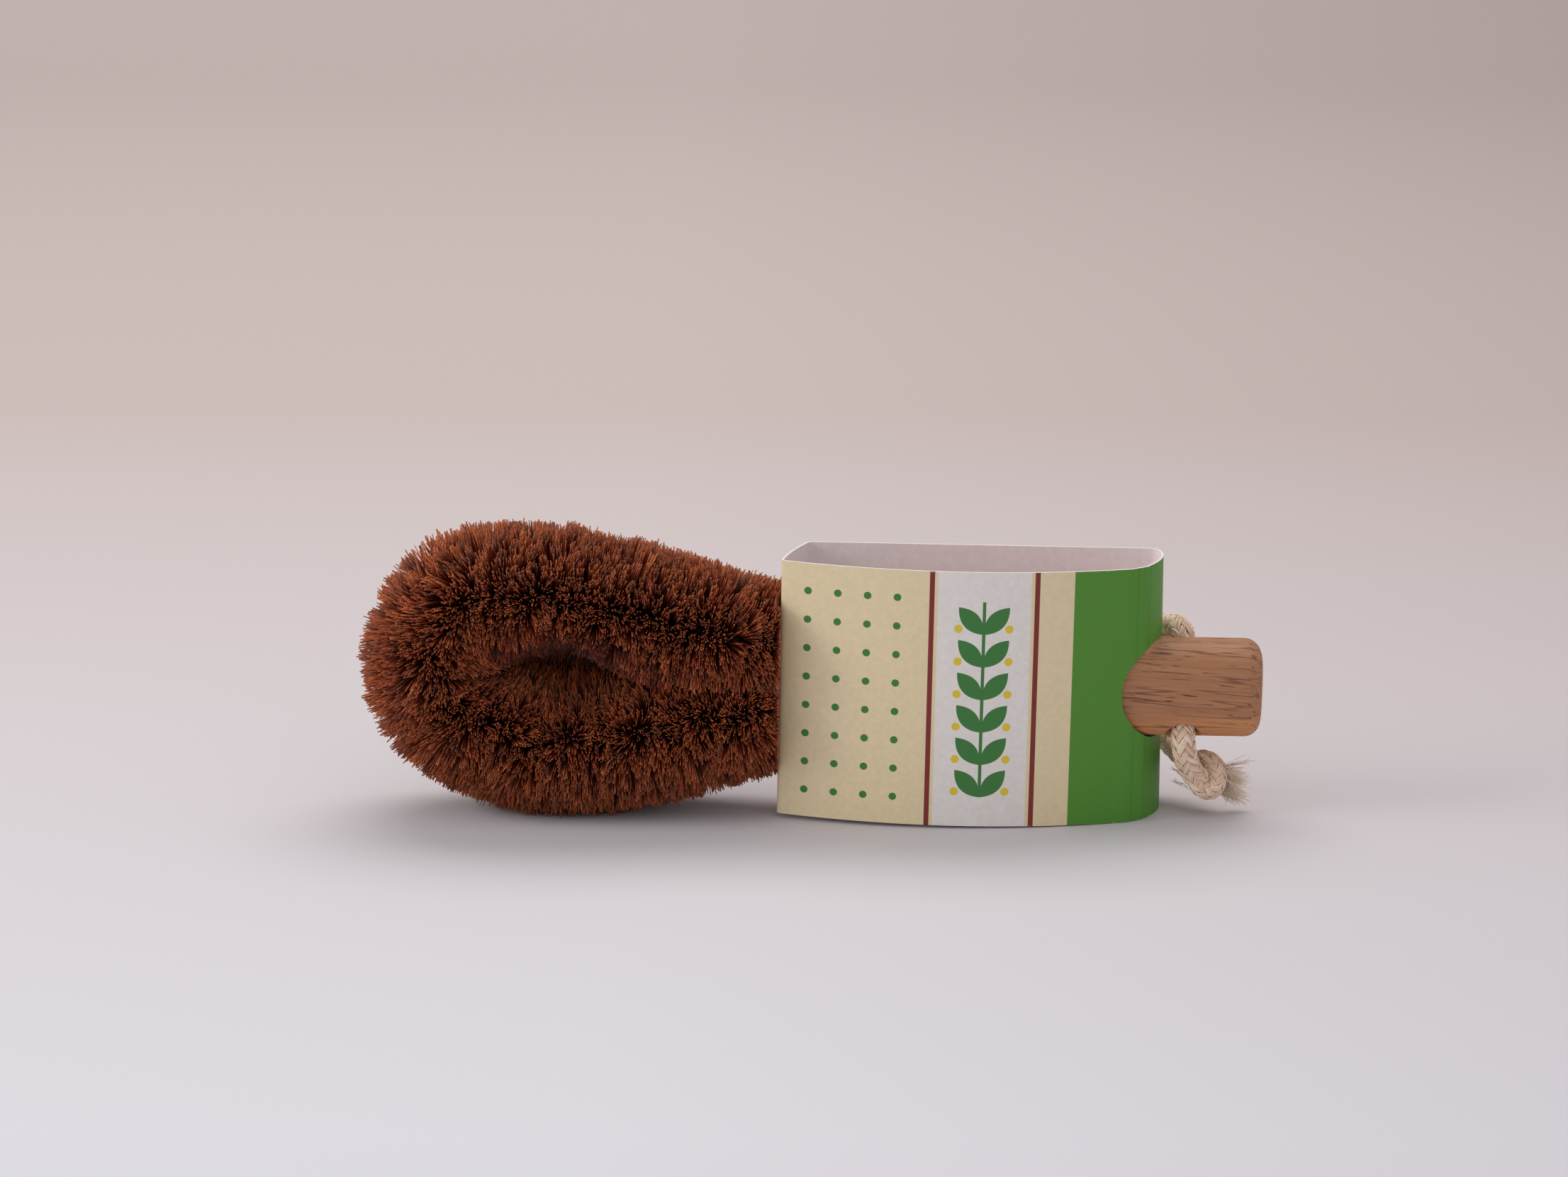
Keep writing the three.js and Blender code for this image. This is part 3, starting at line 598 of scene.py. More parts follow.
def coir_length(name, start, end, seed):
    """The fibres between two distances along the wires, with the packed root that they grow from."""
    chance = np.random.default_rng(seed)
    count = FIBRES_IN_A_LENGTH
    distance = start + (end - start) * (np.arange(count) + chance.random(count)) / count
    angle = 2 * math.pi * chance.random(count)
    # More of them crowd at the two free ends, beside the sleeve
    crowd = chance.random(count) < END_CROWD
    if np.isclose(start, bristles_from):
        distance[crowd] = start + END_CROWD_OVER * chance.random(crowd.sum())
    if np.isclose(end, bristles_to):
        distance[crowd] = end - END_CROWD_OVER * chance.random(crowd.sum())
    # Each fibre's tip is drawn towards the middle of its tuft
    tuft = np.floor(distance / TUFT).astype(int), np.floor(angle / tuft_angle).astype(int)
    pull = tuft_pull[tuft] + RIM_PULL * held(np.cos(angle))
    tip_distance = distance + pull * ((tuft[0] + tuft_middle[0][tuft]) * TUFT - distance)
    tip_angle = angle + pull * ((tuft[1] + tuft_middle[1][tuft]) * tuft_angle - angle)
    tip_distance += chance.normal(0, TIP_SCATTER, count)
    tip_angle += chance.normal(0, TIP_TURN_SCATTER, count)
    tip_distance += drift(distance, angle, drift_waves[0])
    tip_angle += drift(distance, angle, drift_waves[1]) / BRISTLE_REACH
    # The last fibres lean out over the ends of the wires' coir towards the sleeve
    tip_distance -= END_SPLAY * np.exp(-(distance - bristles_from) / END_SPLAY_OVER)
    tip_distance += END_SPLAY * np.exp(-(bristles_to - distance) / END_SPLAY_OVER)
    trim = chance.normal(1, TRIM_SCATTER, count) + tuft_trim[tuft]
    trim -= chance.uniform(0, INNER_TRIM, count) * held(-np.cos(angle) - 0.3)
    stray = chance.random(count) < STRAY_SHARE
    trim[stray] += chance.uniform(*STRAY_EXTRA, stray.sum())
    reach = fibre_reach(tip_distance, tip_angle) * trim
    root = around_loop(distance, angle, np.full(count, FIBRE_ROOT))
    tip = around_loop(tip_distance, tip_angle, reach)
    straight = around_loop(distance, angle, FIBRE_ROOT + BEND_AT * (reach - FIBRE_ROOT))
    straight += chance.normal(0, BEND_SCATTER, (count, 3))
    # A fibre starts straight out of the wires and bows towards its tip
    t = np.linspace(0, 1, FIBRE_POINTS)[None, :, None]
    centres = (1 - t) ** 2 * root[:, None] + 2 * t * (1 - t) * straight[:, None] + t * t * tip[:, None]
    # None pokes into the sleeve's end or below the floor
    depth = centres[..., 1]
    card_x = CARD_FOLD[0] + CARD_SIDE_SLOPE * np.maximum(depth - CARD_FOLD[1], 0)
    card_x = np.where(depth < BEFORE_CARD_Y, BEFORE_CARD_X, card_x)
    centres[..., 0] = np.minimum(centres[..., 0], card_x)
    floor_z = (FLOOR_GAP * MM - tail_end.z - centres[..., 0] * MM * along.z) / MM / up.z
    centres[..., 2] = np.maximum(centres[..., 2], floor_z)
    taper = np.linspace(*FIBRE_TAPER, FIBRE_POINTS)
    width = FIBRE_WIDTH * chance.uniform(*WIDTH_SPREAD, count)[:, None] * taper
    point, ahead, out = loop_at(distance)
    across = np.broadcast_to(ahead[:, None], centres.shape)
    points, triangles = tubes(centres, across, width[..., None], FIBRE_SIDES)
    shade_of = SHADE_MIDDLE + SHADE_SPREAD * chance.standard_normal(count) + tuft_tone[tuft]
    shade_of = np.clip(np.floor(np.clip(shade_of, 0, 0.999) * SHADES), 0, SHADES - 1)
    u = (shade_of[:, None, None] + np.array(COLUMN_PLACES)[None, None, :]) / SHADES
    # Painted shade inside the upper arm of the loop, round the hollow: these fibres keep their dark root
    # colour further towards their tips and show no pale cut ends
    hollow_shade = np.exp(-((point[:, 0] - BOWL_X) / SHADED_LENGTH) ** 2) * (out[:, 2] > 0)
    hollow_shade *= held(-1.8 * np.cos(angle) - 0.2)
    v = np.linspace(0, 1, FIBRE_POINTS)[None, :, None] * (1 - hollow_shade[:, None, None])
    uv = np.stack(np.broadcast_arrays(u, v), axis=-1).reshape(-1, 2)
    # The packed root that the fibres grow from
    turns = full_turn(ROOT_SIDES)
    root_rings = []
    for place in np.linspace(start, end, ROOT_RINGS):
        here = np.full(ROOT_SIDES, place)
        root_rings.append(around_loop(here, turns, np.minimum(PACKED_ROOT, fibre_reach(here, turns))))
    root_points, root_triangles = skin_over(root_rings)
    root_count = len(root_points)
    # The packed root sits near the start of the map's columns, so it takes nearly the full painted root
    # shade
    root_uv = np.stack([np.linspace(*ROOT_COLUMNS, root_count), np.full(root_count, ROOT_DEPTH)], axis=1)
    fibres = piece_from(
        name,
        np.concatenate([points, root_points]),
        np.concatenate([triangles, root_triangles + len(points)]),
        np.concatenate([uv, root_uv]),
    )
    fibres.data.materials.append(coir)
    return fibres


quarter = (bristles_to - bristles_from) / 4
for i, place in enumerate(("upper_arm", "upper_tip", "lower_tip", "lower_arm")):
    start = bristles_from + i * quarter
    end = bristles_from + (i + 1) * quarter
    fibres = coir_length("coir_" + place, start, end, FIBRE_SEED + i)
    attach(fibres, "brush")
    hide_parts("bristles_" + place)

# Card sleeve: one strip of printed card, folded and glued into a band round the front of the handle.
# It bows out towards the front, and two holes in its ends let the handle and the bristled neck through.
# The outside is printed cream with a green end; the inside and the cut edges are bare white board.
CARD = 0.5
SLEEVE_HEIGHT = 62.4
SLEEVE_LEFT = -115.0
SLEEVE_RIGHT = -23.4
SLEEVE_BACK = 10.1
SLEEVE_SKEW = 6.5
LEFT_FOLD_Y = -7.7
RIGHT_FOLD_X = -29.2
RIGHT_FOLD_Y = -8.9
BOW_Y = -22.3
SIDE_BULGE = 1.6
RIGHT_ROUND = 5.6
SCORE_SPREAD = 0.03
SCORE_LINES = (-30.5, -27.6)
SCORE_HALF = 0.2
SCORE_SOFT = 0.25
SCORE_SHADE = 0.22
FOLD_SHORT = 0.98
END_LEAN = 0.02
FOLD_STEP = 0.6
FOLD_EASING = 3
CARD_ROWS = 32
CARD_SHARP = math.radians(40)
HANDLE_CLEARANCE = 0.4
FRONT_ROOM = 0.8
NECK_HOLE_DEPTH = 15
NECK_HOLE_HEIGHT = 27
NECK_HOLE_SQUARENESS = 4
CREAM = (236, 219, 179)
GREEN = (82, 147, 48)
LEAF_GREEN = (58, 128, 62)
BRICK = (132, 44, 42)
YELLOW = (232, 205, 62)
BOARD = (240, 229, 230)
PANEL_WHITE = (238, 234, 230)
SCORE_SHADE_GREEN = (44, 84, 30)
MOTTLE = (120, 104, 84)
MOTTLE_SHADE = 0.12
WORN_RIM = 0.3
GREEN_FROM_X = -45.8
PANEL_X = -67.0
PANEL_HALF = 11.0
RULE_AT = 12.4
RULE_HALF = 0.6
SPRIG_HALF = 24.0
LEAF_PITCH = 8.0
LEAF_LENGTH = 9.0
LEAF_HALF_WIDTH = 2.1
LEAF_TILT = math.radians(48)
STALK_HALF = 0.4
BERRY_RADIUS = 1.0
BERRY_BESIDE = 6.0
BERRY_ABOVE = 1.4
DOT_PITCH = 7.0
DOT_RADIUS = 0.9
DOTS_FROM_X = -110.0
DOTS_TO_X = -84.0
DOTS_HALF = 28.0


def bow(start, control, end, first=0.0, last=1.0, count=40):
    """Points of a curve from start to end that is drawn towards one control point."""
    t = np.linspace(first, last, count)[:, None]
    start, control, end = (np.array(p, float) for p in (start, control, end))
    return (1 - t) ** 2 * start + 2 * t * (1 - t) * control + t * t * end


def eased(line, step, times):
    """A closed line with its points a step apart, its folds turned in a small round."""
    closed = np.concatenate([line, line[:1]])
    run = run_along(closed)
    places = np.linspace(0, run[-1], round(run[-1] / step), endpoint=False)
    even = line_at(places, run, closed)
    for _ in range(times):
        even = even / 2 + (np.roll(even, 1, axis=0) + np.roll(even, -1, axis=0)) / 4
    return even


def upright(line, heights):
    """The line's points repeated at each height, its right half leaning left as it rises."""
    across = np.repeat(line[:, None], len(heights), axis=1)
    rise = np.broadcast_to(heights[None, :, None], (len(line), len(heights), 1))
    made = np.concatenate([across, rise], axis=2)
    rightward = held((made[..., 0] - PANEL_X) / (SLEEVE_RIGHT - PANEL_X))
    made[..., 0] -= END_LEAN * made[..., 2] * rightward
    return made


left_fold = (SLEEVE_LEFT, LEFT_FOLD_Y)
right_fold = (RIGHT_FOLD_X, RIGHT_FOLD_Y)
back_fold = (SLEEVE_LEFT + SLEEVE_SKEW, SLEEVE_BACK)
round_y = SLEEVE_BACK - RIGHT_ROUND
round_start = (SLEEVE_RIGHT, round_y)
side_middle = (back_fold[0] - SLEEVE_SKEW / 2 - SIDE_BULGE, (SLEEVE_BACK + LEFT_FOLD_Y) / 2)
outline = np.concatenate([
    bow(left_fold, ((SLEEVE_LEFT + RIGHT_FOLD_X) / 2, BOW_Y), right_fold, 0, 1 - SCORE_SPREAD),
    bow(right_fold, (SLEEVE_RIGHT, round_y - RIGHT_ROUND), round_start, 4 * SCORE_SPREAD, FOLD_SHORT),
    bow(round_start, (SLEEVE_RIGHT, SLEEVE_BACK), (SLEEVE_RIGHT - RIGHT_ROUND / 2, SLEEVE_BACK)),
    bow(back_fold, side_middle, left_fold, 0, FOLD_SHORT),
])
outer = eased(outline, FOLD_STEP, FOLD_EASING)
onward = np.roll(outer, -1, axis=0) - np.roll(outer, 1, axis=0)
inner = outer + CARD * unit(np.stack([-onward[:, 1], onward[:, 0]], axis=1))
card_heights = np.linspace(-SLEEVE_HEIGHT / 2, SLEEVE_HEIGHT / 2, CARD_ROWS)
card_rings = np.concatenate([upright(outer, card_heights[::-1]), upright(inner, card_heights)], axis=1)
sleeve = piece_from("card_band", *skin_over(card_rings, closed=True))

board_tooth = bpy.data.node_groups.new("board tooth", "ShaderNodeTree")
for socket in ("Mottle", "Tooth"):
    board_tooth.interface.new_socket(socket, in_out="OUTPUT", socket_type="NodeSocketFloat")
tooth_place = brush_place(board_tooth)
mottle = ranged(board_tooth, stretched_noise(board_tooth, tooth_place, (0.7, 0.7, 0.7), 5, 0.65), 0.3, 0.7)
tooth = stretched_noise(board_tooth, tooth_place, (4, 4, 4), 3, 0.6)
tooth_out = board_tooth.nodes.new("NodeGroupOutput")
board_tooth.links.new(mottle, tooth_out.inputs["Mottle"])
board_tooth.links.new(tooth, tooth_out.inputs["Tooth"])


def edge(tree, value, at, soft=0.06):
    """1 where the value is under a printed edge and 0 past it."""
    return ranged(tree, value, at + soft, at - soft)


def both(tree, first, second):
    return maths(tree, "MULTIPLY", first, second)


def apart(tree, value, middle):
    """How far a value lies from a middle."""
    return maths(tree, "ABSOLUTE", maths(tree, "SUBTRACT", value, middle))


def toothed(tree, finish, colour, roughness):
    """Gives a card surface its mottled colour, dull roughness and fine tooth."""
    surface = tree.nodes.new("ShaderNodeGroup")
    surface.node_tree = board_tooth
    mottle, tooth = (surface.outputs[k] for k in ("Mottle", "Tooth"))
    worn = mixed(tree, ranged(tree, mottle, 0, 1, 0.0, MOTTLE_SHADE), colour, paint(MOTTLE))
    tree.links.new(worn, finish.inputs["Base Color"])
    tree.links.new(ranged(tree, mottle, 0, 1, *roughness), finish.inputs["Roughness"])
    bump = shade(tree, "Bump", {"Height": tooth, "Strength": 0.12, "Distance": 0.05 * MM})
    tree.links.new(bump.outputs["Normal"], finish.inputs["Normal"])
    finish.inputs["Specular IOR Level"].default_value = 0.3


printed, tree, finish = new_finish("printed card")
print_place = shade(tree, "SeparateXYZ", {"Vector": brush_place(tree)})
print_x, print_y, print_z = (print_place.outputs[k] for k in "XYZ")
front = ranged(tree, print_y, -0.5, -1.5)
beside = apart(tree, print_x, PANEL_X)
from_middle = maths(tree, "ABSOLUTE", print_z)
in_sprig = edge(tree, from_middle, SPRIG_HALF)
row = maths(tree, "FLOORED_MODULO", maths(tree, "ADD", print_z, SPRIG_HALF), LEAF_PITCH)
leaf_along = maths(tree, "ADD", both(tree, beside, math.cos(LEAF_TILT)),
                   both(tree, row, math.sin(LEAF_TILT)))
leaf_across = maths(tree, "SUBTRACT", both(tree, row, math.cos(LEAF_TILT)),
                    both(tree, beside, math.sin(LEAF_TILT)))
leaf_place = maths(tree, "SUBTRACT", maths(tree, "DIVIDE", leaf_along, LEAF_LENGTH / 2), 1.0)
leaf_half = both(tree, maths(tree, "SUBTRACT", 1.0, both(tree, leaf_place, leaf_place)), LEAF_HALF_WIDTH)
leaf = edge(tree, maths(tree, "SUBTRACT", maths(tree, "ABSOLUTE", leaf_across), leaf_half), 0.0)
stalk = edge(tree, beside, STALK_HALF)
sprig = both(tree, both(tree, maths(tree, "MAXIMUM", leaf, stalk), in_sprig), front)
berry_away = shade(tree, "CombineXYZ", {
    "X": maths(tree, "SUBTRACT", beside, BERRY_BESIDE),
    "Y": maths(tree, "SUBTRACT", row, BERRY_ABOVE),
})
berry_far = shade(tree, "VectorMath", {0: berry_away.outputs[0]}, operation="LENGTH").outputs["Value"]
berry = both(tree, both(tree, edge(tree, berry_far, BERRY_RADIUS), in_sprig), front)
panel = both(tree, edge(tree, beside, PANEL_HALF), front)
rule = both(tree, edge(tree, apart(tree, beside, RULE_AT), RULE_HALF), front)
dot_x = maths(tree, "SUBTRACT", maths(tree, "FLOORED_MODULO", print_x, DOT_PITCH), DOT_PITCH / 2)
dot_z = maths(tree, "SUBTRACT", maths(tree, "FLOORED_MODULO", print_z, DOT_PITCH), DOT_PITCH / 2)
dot_far = shade(tree, "VectorMath", {0: shade(tree, "CombineXYZ", {"X": dot_x, "Y": dot_z}).outputs[0]},
                operation="LENGTH").outputs["Value"]
past_left = maths(tree, "SUBTRACT", 1.0, edge(tree, print_x, DOTS_FROM_X))
in_dots = both(tree, edge(tree, print_x, DOTS_TO_X), past_left)
in_dots = both(tree, in_dots, edge(tree, from_middle, DOTS_HALF))
dots = both(tree, both(tree, edge(tree, dot_far, DOT_RADIUS), in_dots), front)
green_end = maths(tree, "SUBTRACT", 1.0, edge(tree, print_x, GREEN_FROM_X))
ink = paint(CREAM)
for mask, colour in (
    (panel, PANEL_WHITE), (rule, BRICK), (sprig, LEAF_GREEN), (berry, YELLOW), (dots, LEAF_GREEN),
    (green_end, GREEN),
):
    ink = mixed(tree, mask, ink, paint(colour))
# Painted shade along the two soft score folds on the green end
for score_x in SCORE_LINES:
    painted_score_shade = both(tree, edge(tree, apart(tree, print_x, score_x), SCORE_HALF, SCORE_SOFT), front)
    ink = mixed(tree, both(tree, painted_score_shade, SCORE_SHADE), ink, paint(SCORE_SHADE_GREEN))
rubbed = stretched_noise(tree, brush_place(tree), (0.8, 0.8, 0.8), 4)
rim = both(tree, ranged(tree, from_middle, SLEEVE_HEIGHT / 2 - WORN_RIM, SLEEVE_HEIGHT / 2, 0.0, 0.6),
           ranged(tree, rubbed, 0.55, 0.7))
ink = mixed(tree, rim, ink, paint(BOARD))
toothed(tree, finish, ink, (0.42, 0.55))

board, tree, finish = new_finish("bare white board")
toothed(tree, finish, paint(BOARD), (0.7, 0.82))

sleeve.data.materials.append(printed)
sleeve.data.materials.append(board)
card_round = np.tile(np.arange(len(sleeve.data.polygons) // 2) % (2 * CARD_ROWS), 2)
sleeve.data.polygons.foreach_set("material_index", (card_round >= CARD_ROWS - 1).astype(np.int32))


def card_hole(rings):
    """Cuts a hole through the sleeve, with a bare board edge."""
    cutter = piece_from("card_hole_cutter", *skin_over(rings))
    cutter.data.materials.append(printed)
    cutter.data.materials.append(board)
    cutter.data.polygons.foreach_set("material_index", np.ones(len(cutter.data.polygons), np.int32))
    cut_away(sleeve, cutter)


card_hole([
    oval_ring(x, HANDLE_DEPTH + FRONT_ROOM + 2 * HANDLE_CLEARANCE, HANDLE_HEIGHT + 2 * HANDLE_CLEARANCE,
              HANDLE_SQUARENESS, -FRONT_ROOM / 2)
    for x in (SLEEVE_RIGHT - HANDLE_DEPTH, SLEEVE_RIGHT + 1)
])
card_hole([
    oval_ring(x, NECK_HOLE_DEPTH, NECK_HOLE_HEIGHT, NECK_HOLE_SQUARENESS, (SLEEVE_BACK + LEFT_FOLD_Y) / 2)
    for x in (SLEEVE_LEFT - SLEEVE_SKEW, SLEEVE_LEFT + 2 * SLEEVE_SKEW)
])
sleeve.data.set_sharp_from_angle(angle=CARD_SHARP)
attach(sleeve, "sleeve")
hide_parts("card_sleeve")

# Hanging cord: undyed cotton, sixteen strands of three yarns braided over a soft core. It runs up through
# the handle's hole and round behind the sleeve, and both its ends meet in the knot below the handle.
CORD_STEP = 0.7
BRAID_RADIUS = 2.38
BRAID_WAVE = 0.36
BRAID_PITCH = 19
STRANDS_EACH_WAY = 8
YARN_TURN = 0.23
YARN_HALF = 0.285
YARN_SIDES = 5
YARN_SCATTER = 0.03
CORE_RADIUS = 1.8
CORE_SIDES = 12
CORE_COLUMN = 2.0
CORD_SEED = 51
YARN_SHADES = 24
GROOVE_SHADE = 0.65
COTTON_DARK = (204, 167, 140)
COTTON = (241, 212, 187)
COTTON_PALE = (253, 236, 216)
COTTON_GROOVE_SHADE = (112, 88, 66)
CORD_BELOW = [(-13.6, -3.4, -22.2), (-15.6, -4.6, -20.2), (-17.4, -5.7, -16.8), (-18.3, -6.3, -13)]
CORD_ROUND = [
    (-18.6, 6.6, 11.2), (-19.3, 9.0, 11.9), (-21.0, 12.5, 11.3), (-24.6, 15.2, 10.4),
    (-30.5, 16.2, 8.8), (-38, 16.2, 6.9), (-45, 16.0, 3.6), (-49.6, 15.8, -1.6),
    (-48.6, 15.6, -8.2), (-42.6, 15.5, -12.2), (-34.5, 15.6, -13.6), (-27.2, 15.4, -14.6),
    (-22.2, 13.8, -16.4), (-18.6, 10.4, -18.8), (-15.7, 6.4, -20.8), (-13.4, 2.8, -22.2),
]

cotton, tree, finish = new_finish("undyed cotton")
yarn_column, yarn_tone, faces_up = strand_shades(
    tree, YARN_SHADES, COTTON_DARK, COTTON_PALE, [(0.45, COTTON)]
)
# Painted shade: each yarn darkens on the sides that face in towards the core and the grooves beside it,
# and the core, which faces in all round, takes the full painted shade
painted_groove_shade = ranged(tree, faces_up, 0.0, 0.7, GROOVE_SHADE, 0.0)
yarn_tone = mixed(tree, painted_groove_shade, yarn_tone, paint(COTTON_GROOVE_SHADE))
tree.links.new(yarn_tone, finish.inputs["Base Color"])
tree.links.new(ranged(tree, yarn_column, 0, 1, 0.95, 0.8), finish.inputs["Roughness"])
finish.inputs["Specular IOR Level"].default_value = 0.15
finish.inputs["Sheen Weight"].default_value = 0.25
finish.inputs["Sheen Roughness"].default_value = 0.5


def carried_sides(route):
    """Two directions across a route that turn with it and don't spin round it."""
    tangent = unit(np.gradient(route, axis=0))
    first = np.zeros_like(route)
    across = np.array([0, 1.0, 0.3])
    for i, ahead in enumerate(tangent):
        across = unit(across - across.dot(ahead) * ahead)
        first[i] = across
    return first, np.cross(tangent, first)


def yarn_map(columns, steps, outward):
    """A place on the map for each point of yarns: their shade across, how far out a side faces up."""
    wide = np.where(np.arange(steps) % 2, 0.8, 0.2)
    u = (columns[:, None, None] + wide[None, :, None]) / YARN_SHADES
    v = np.broadcast_to(outward, (len(columns), steps, len(outward)))
    return np.stack(np.broadcast_arrays(u, v), axis=-1).reshape(-1, 2)


def braid(name, routes, scale, seed):
    """A piece of braided cord along one or more routes, each strand over two others and under two."""
    chance = np.random.default_rng(seed)
    points, triangles, uv = [], [], []
    for route in routes:
        first, third = carried_sides(route)
        carried = 2 * math.pi * run_along(route) / (BRAID_PITCH * scale)
        centres = []
        outward = []
        for hand in (1, -1):
            for strand in range(STRANDS_EACH_WAY):
                for yarn in (-YARN_TURN, 0, YARN_TURN):
                    turn = hand * carried + 2 * math.pi * strand / STRANDS_EACH_WAY + yarn
                    over = hand * np.cos(hand * 4 * carried + 2 * yarn + math.pi * (strand + 0.25))
                    out = np.cos(turn)[:, None] * first + np.sin(turn)[:, None] * third
                    radius = BRAID_RADIUS + BRAID_WAVE * over + YARN_SCATTER * chance.standard_normal()
                    centres.append(route + scale * radius[:, None] * out)
                    outward.append(out)
        yarns, yarn_triangles = tubes(
            np.array(centres), np.array(outward), scale * YARN_HALF, YARN_SIDES
        )
        columns = np.clip(chance.normal(0.5, 0.2, len(centres)), 0, 0.999) * YARN_SHADES // 1
        faces_out = (1 + np.cos(full_turn(YARN_SIDES))) / 2
        core, core_triangles = tubes(route[None], first[None], scale * CORE_RADIUS, CORE_SIDES)
        for more, faces, places in (
            (yarns, yarn_triangles, yarn_map(columns, len(route), faces_out)),
            (core, core_triangles, yarn_map(np.array([CORE_COLUMN]), len(route), np.zeros(CORE_SIDES))),
        ):
            triangles.append(faces + sum(map(len, points)))
            points.append(more)
            uv.append(places)
    cord = piece_from(name, np.concatenate(points), np.concatenate(triangles), np.concatenate(uv))
    cord.data.materials.append(cotton)
    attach(cord, "brush")
    return cord


hole_reaches = (mouth_reach - MOUTH_DEPTH) * np.array([-1, -1 / 3, 1 / 3, 1])
hole_points = [(CORD_HOLE_X, *(reach * hole_axis[1:])) for reach in hole_reaches]
cord_route = smooth_route([*CORD_BELOW, *hole_points, *CORD_ROUND], CORD_STEP)
cord = braid("braided_cord", [cord_route], 1.0, CORD_SEED)
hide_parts("hanging_cord")

# Knot: the cord's two ends tied together below the handle in a tight overhand loop, which stands out
# as one turn of braid with a small dark eye.
KNOT_SCALE = 0.84
KNOT_STEP = 0.5
KNOT_SEED = 52
KNOT_LOOP = [
    (-15.4, -4.4, -20.2), (-13.5, -4.9, -23.6), (-11.0, -4.5, -24.3), (-9.8, -3.5, -21.8),
    (-10.6, -1.9, -19.0), (-13.2, 0.2, -18.4), (-15.2, 2.0, -20.0), (-14.6, 2.8, -22.6),
    (-12.0, 1.8, -24.2), (-9.6, 0.4, -24.2),
]
KNOT_THROUGH = [(-13.4, 2.8, -22.2), (-11.8, 1.4, -21.0), (-10.4, -0.2, -20.6), (-8.8, -1.6, -20.8)]
knot_routes = [smooth_route(line, KNOT_STEP) for line in (KNOT_LOOP, KNOT_THROUGH)]
knot = braid("tied_knot", knot_routes, KNOT_SCALE, KNOT_SEED)
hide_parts("cord_knot")

# Frayed ends: past the knot the cord's two cut ends come undone into soft cotton fibres, which fan out
# to the right. A few loose hairs stand off the cord and the knot.
FRAY_BUNDLES = 16
FIBRES_IN_A_BUNDLE = 17
FRAY_POINTS = 9
FRAY_HALF = 0.055
FRAY_SIDES = 3
FRAY_SEED = 61
FRAY_CURL = 0.25
FRAY_ROOT_SPREAD = 1.5
HAIRS_IN_A_WISP = 8
HAIR_SPREADS = (0.5, 0.7, 0.4)
HAIR_CURL = 0.3
FRAYS = {
    "a": [(-9.2, -2.0, -20.8), (-6.0, -2.6, -20.8), (-2.2, -2.8, -22.0), 4.5],
    "b": [(-9.8, -0.6, -24.2), (-6.4, 0.2, -25.2), (-2.2, 0.6, -26.2), 3.5],
}
LOOSE_HAIRS = [
    [(-14.8, -5.6, -14.8), (-11.8, -5.4, -16.0), (-9.6, -4.2, -20.0)],
    [(-16.8, -4.2, -21.4), (-18.8, -3.8, -20.2), (-20.3, -3.2, -19.2)],
    [(-16.2, -4.2, -23.4), (-18.6, -3.8, -23.0), (-20.2, -3.2, -22.4)],
]


def curved_hairs(roots, knees, tips, curl, chance):
    """Lines of points that leave their roots, bend by their knees and wander towards their tips."""
    t = np.linspace(0, 1, FRAY_POINTS)[None, :, None]
    lines = (1 - t) ** 2 * roots[:, None] + 2 * t * (1 - t) * knees[:, None] + t * t * tips[:, None]
    phase = chance.uniform(0, 2 * math.pi, roots.shape)[:, None]
    return lines + curl * t * np.sin(phase + 7 * t * chance.uniform(0.6, 1.4, (len(roots), 1, 1)))


for seed, (end, (start, middle, tip, fan)) in enumerate(FRAYS.items(), FRAY_SEED):
    chance = np.random.default_rng(seed)
    start, middle, tip = (np.array(p) for p in (start, middle, tip))
    turn = 2 * math.pi * chance.random(FRAY_BUNDLES)
    far = np.sqrt(chance.random(FRAY_BUNDLES))
    disc = np.stack([np.zeros(FRAY_BUNDLES), 0.7 * far * np.cos(turn), far * np.sin(turn)], axis=1)
    disc = np.repeat(disc, FIBRES_IN_A_BUNDLE, axis=0)
    reach = np.repeat(chance.uniform(0.6, 1.05, FRAY_BUNDLES), FIBRES_IN_A_BUNDLE)
    reach = (reach * chance.uniform(0.65, 1.05, len(reach)))[:, None]
    roots = start + FRAY_ROOT_SPREAD * disc + chance.normal(0, 0.2, disc.shape)
    knees = start + reach * (middle - start) + (1.2 + 0.3 * fan) * disc + chance.normal(0, 0.4, disc.shape)
    tips = start + reach * (tip - start) + fan * disc + chance.normal(0, 0.7, disc.shape)
    lines = [curved_hairs(roots, knees, tips, FRAY_CURL, chance)]
    if end == "a":
        for hair in LOOSE_HAIRS:
            wisp = [
                np.array(p) + chance.normal(0, spread, (HAIRS_IN_A_WISP, 3))
                for p, spread in zip(hair, HAIR_SPREADS)
            ]
            lines.append(curved_hairs(*wisp, HAIR_CURL, chance))
    centres = np.concatenate(lines)
    across = np.broadcast_to(np.array([0, 0.6, 0.8]), centres.shape)
    points, triangles = tubes(centres, across, FRAY_HALF, FRAY_SIDES)
    columns = np.clip(chance.normal(0.95, 0.12, len(centres)), 0, 0.999) * YARN_SHADES // 1
    fray_map = yarn_map(columns, FRAY_POINTS, np.ones(FRAY_SIDES))
    fray = piece_from("frayed_end_" + end, points, triangles, fray_map)
    fray.data.materials.append(cotton)
    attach(fray, "brush")
    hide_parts("cord_tail_" + end)

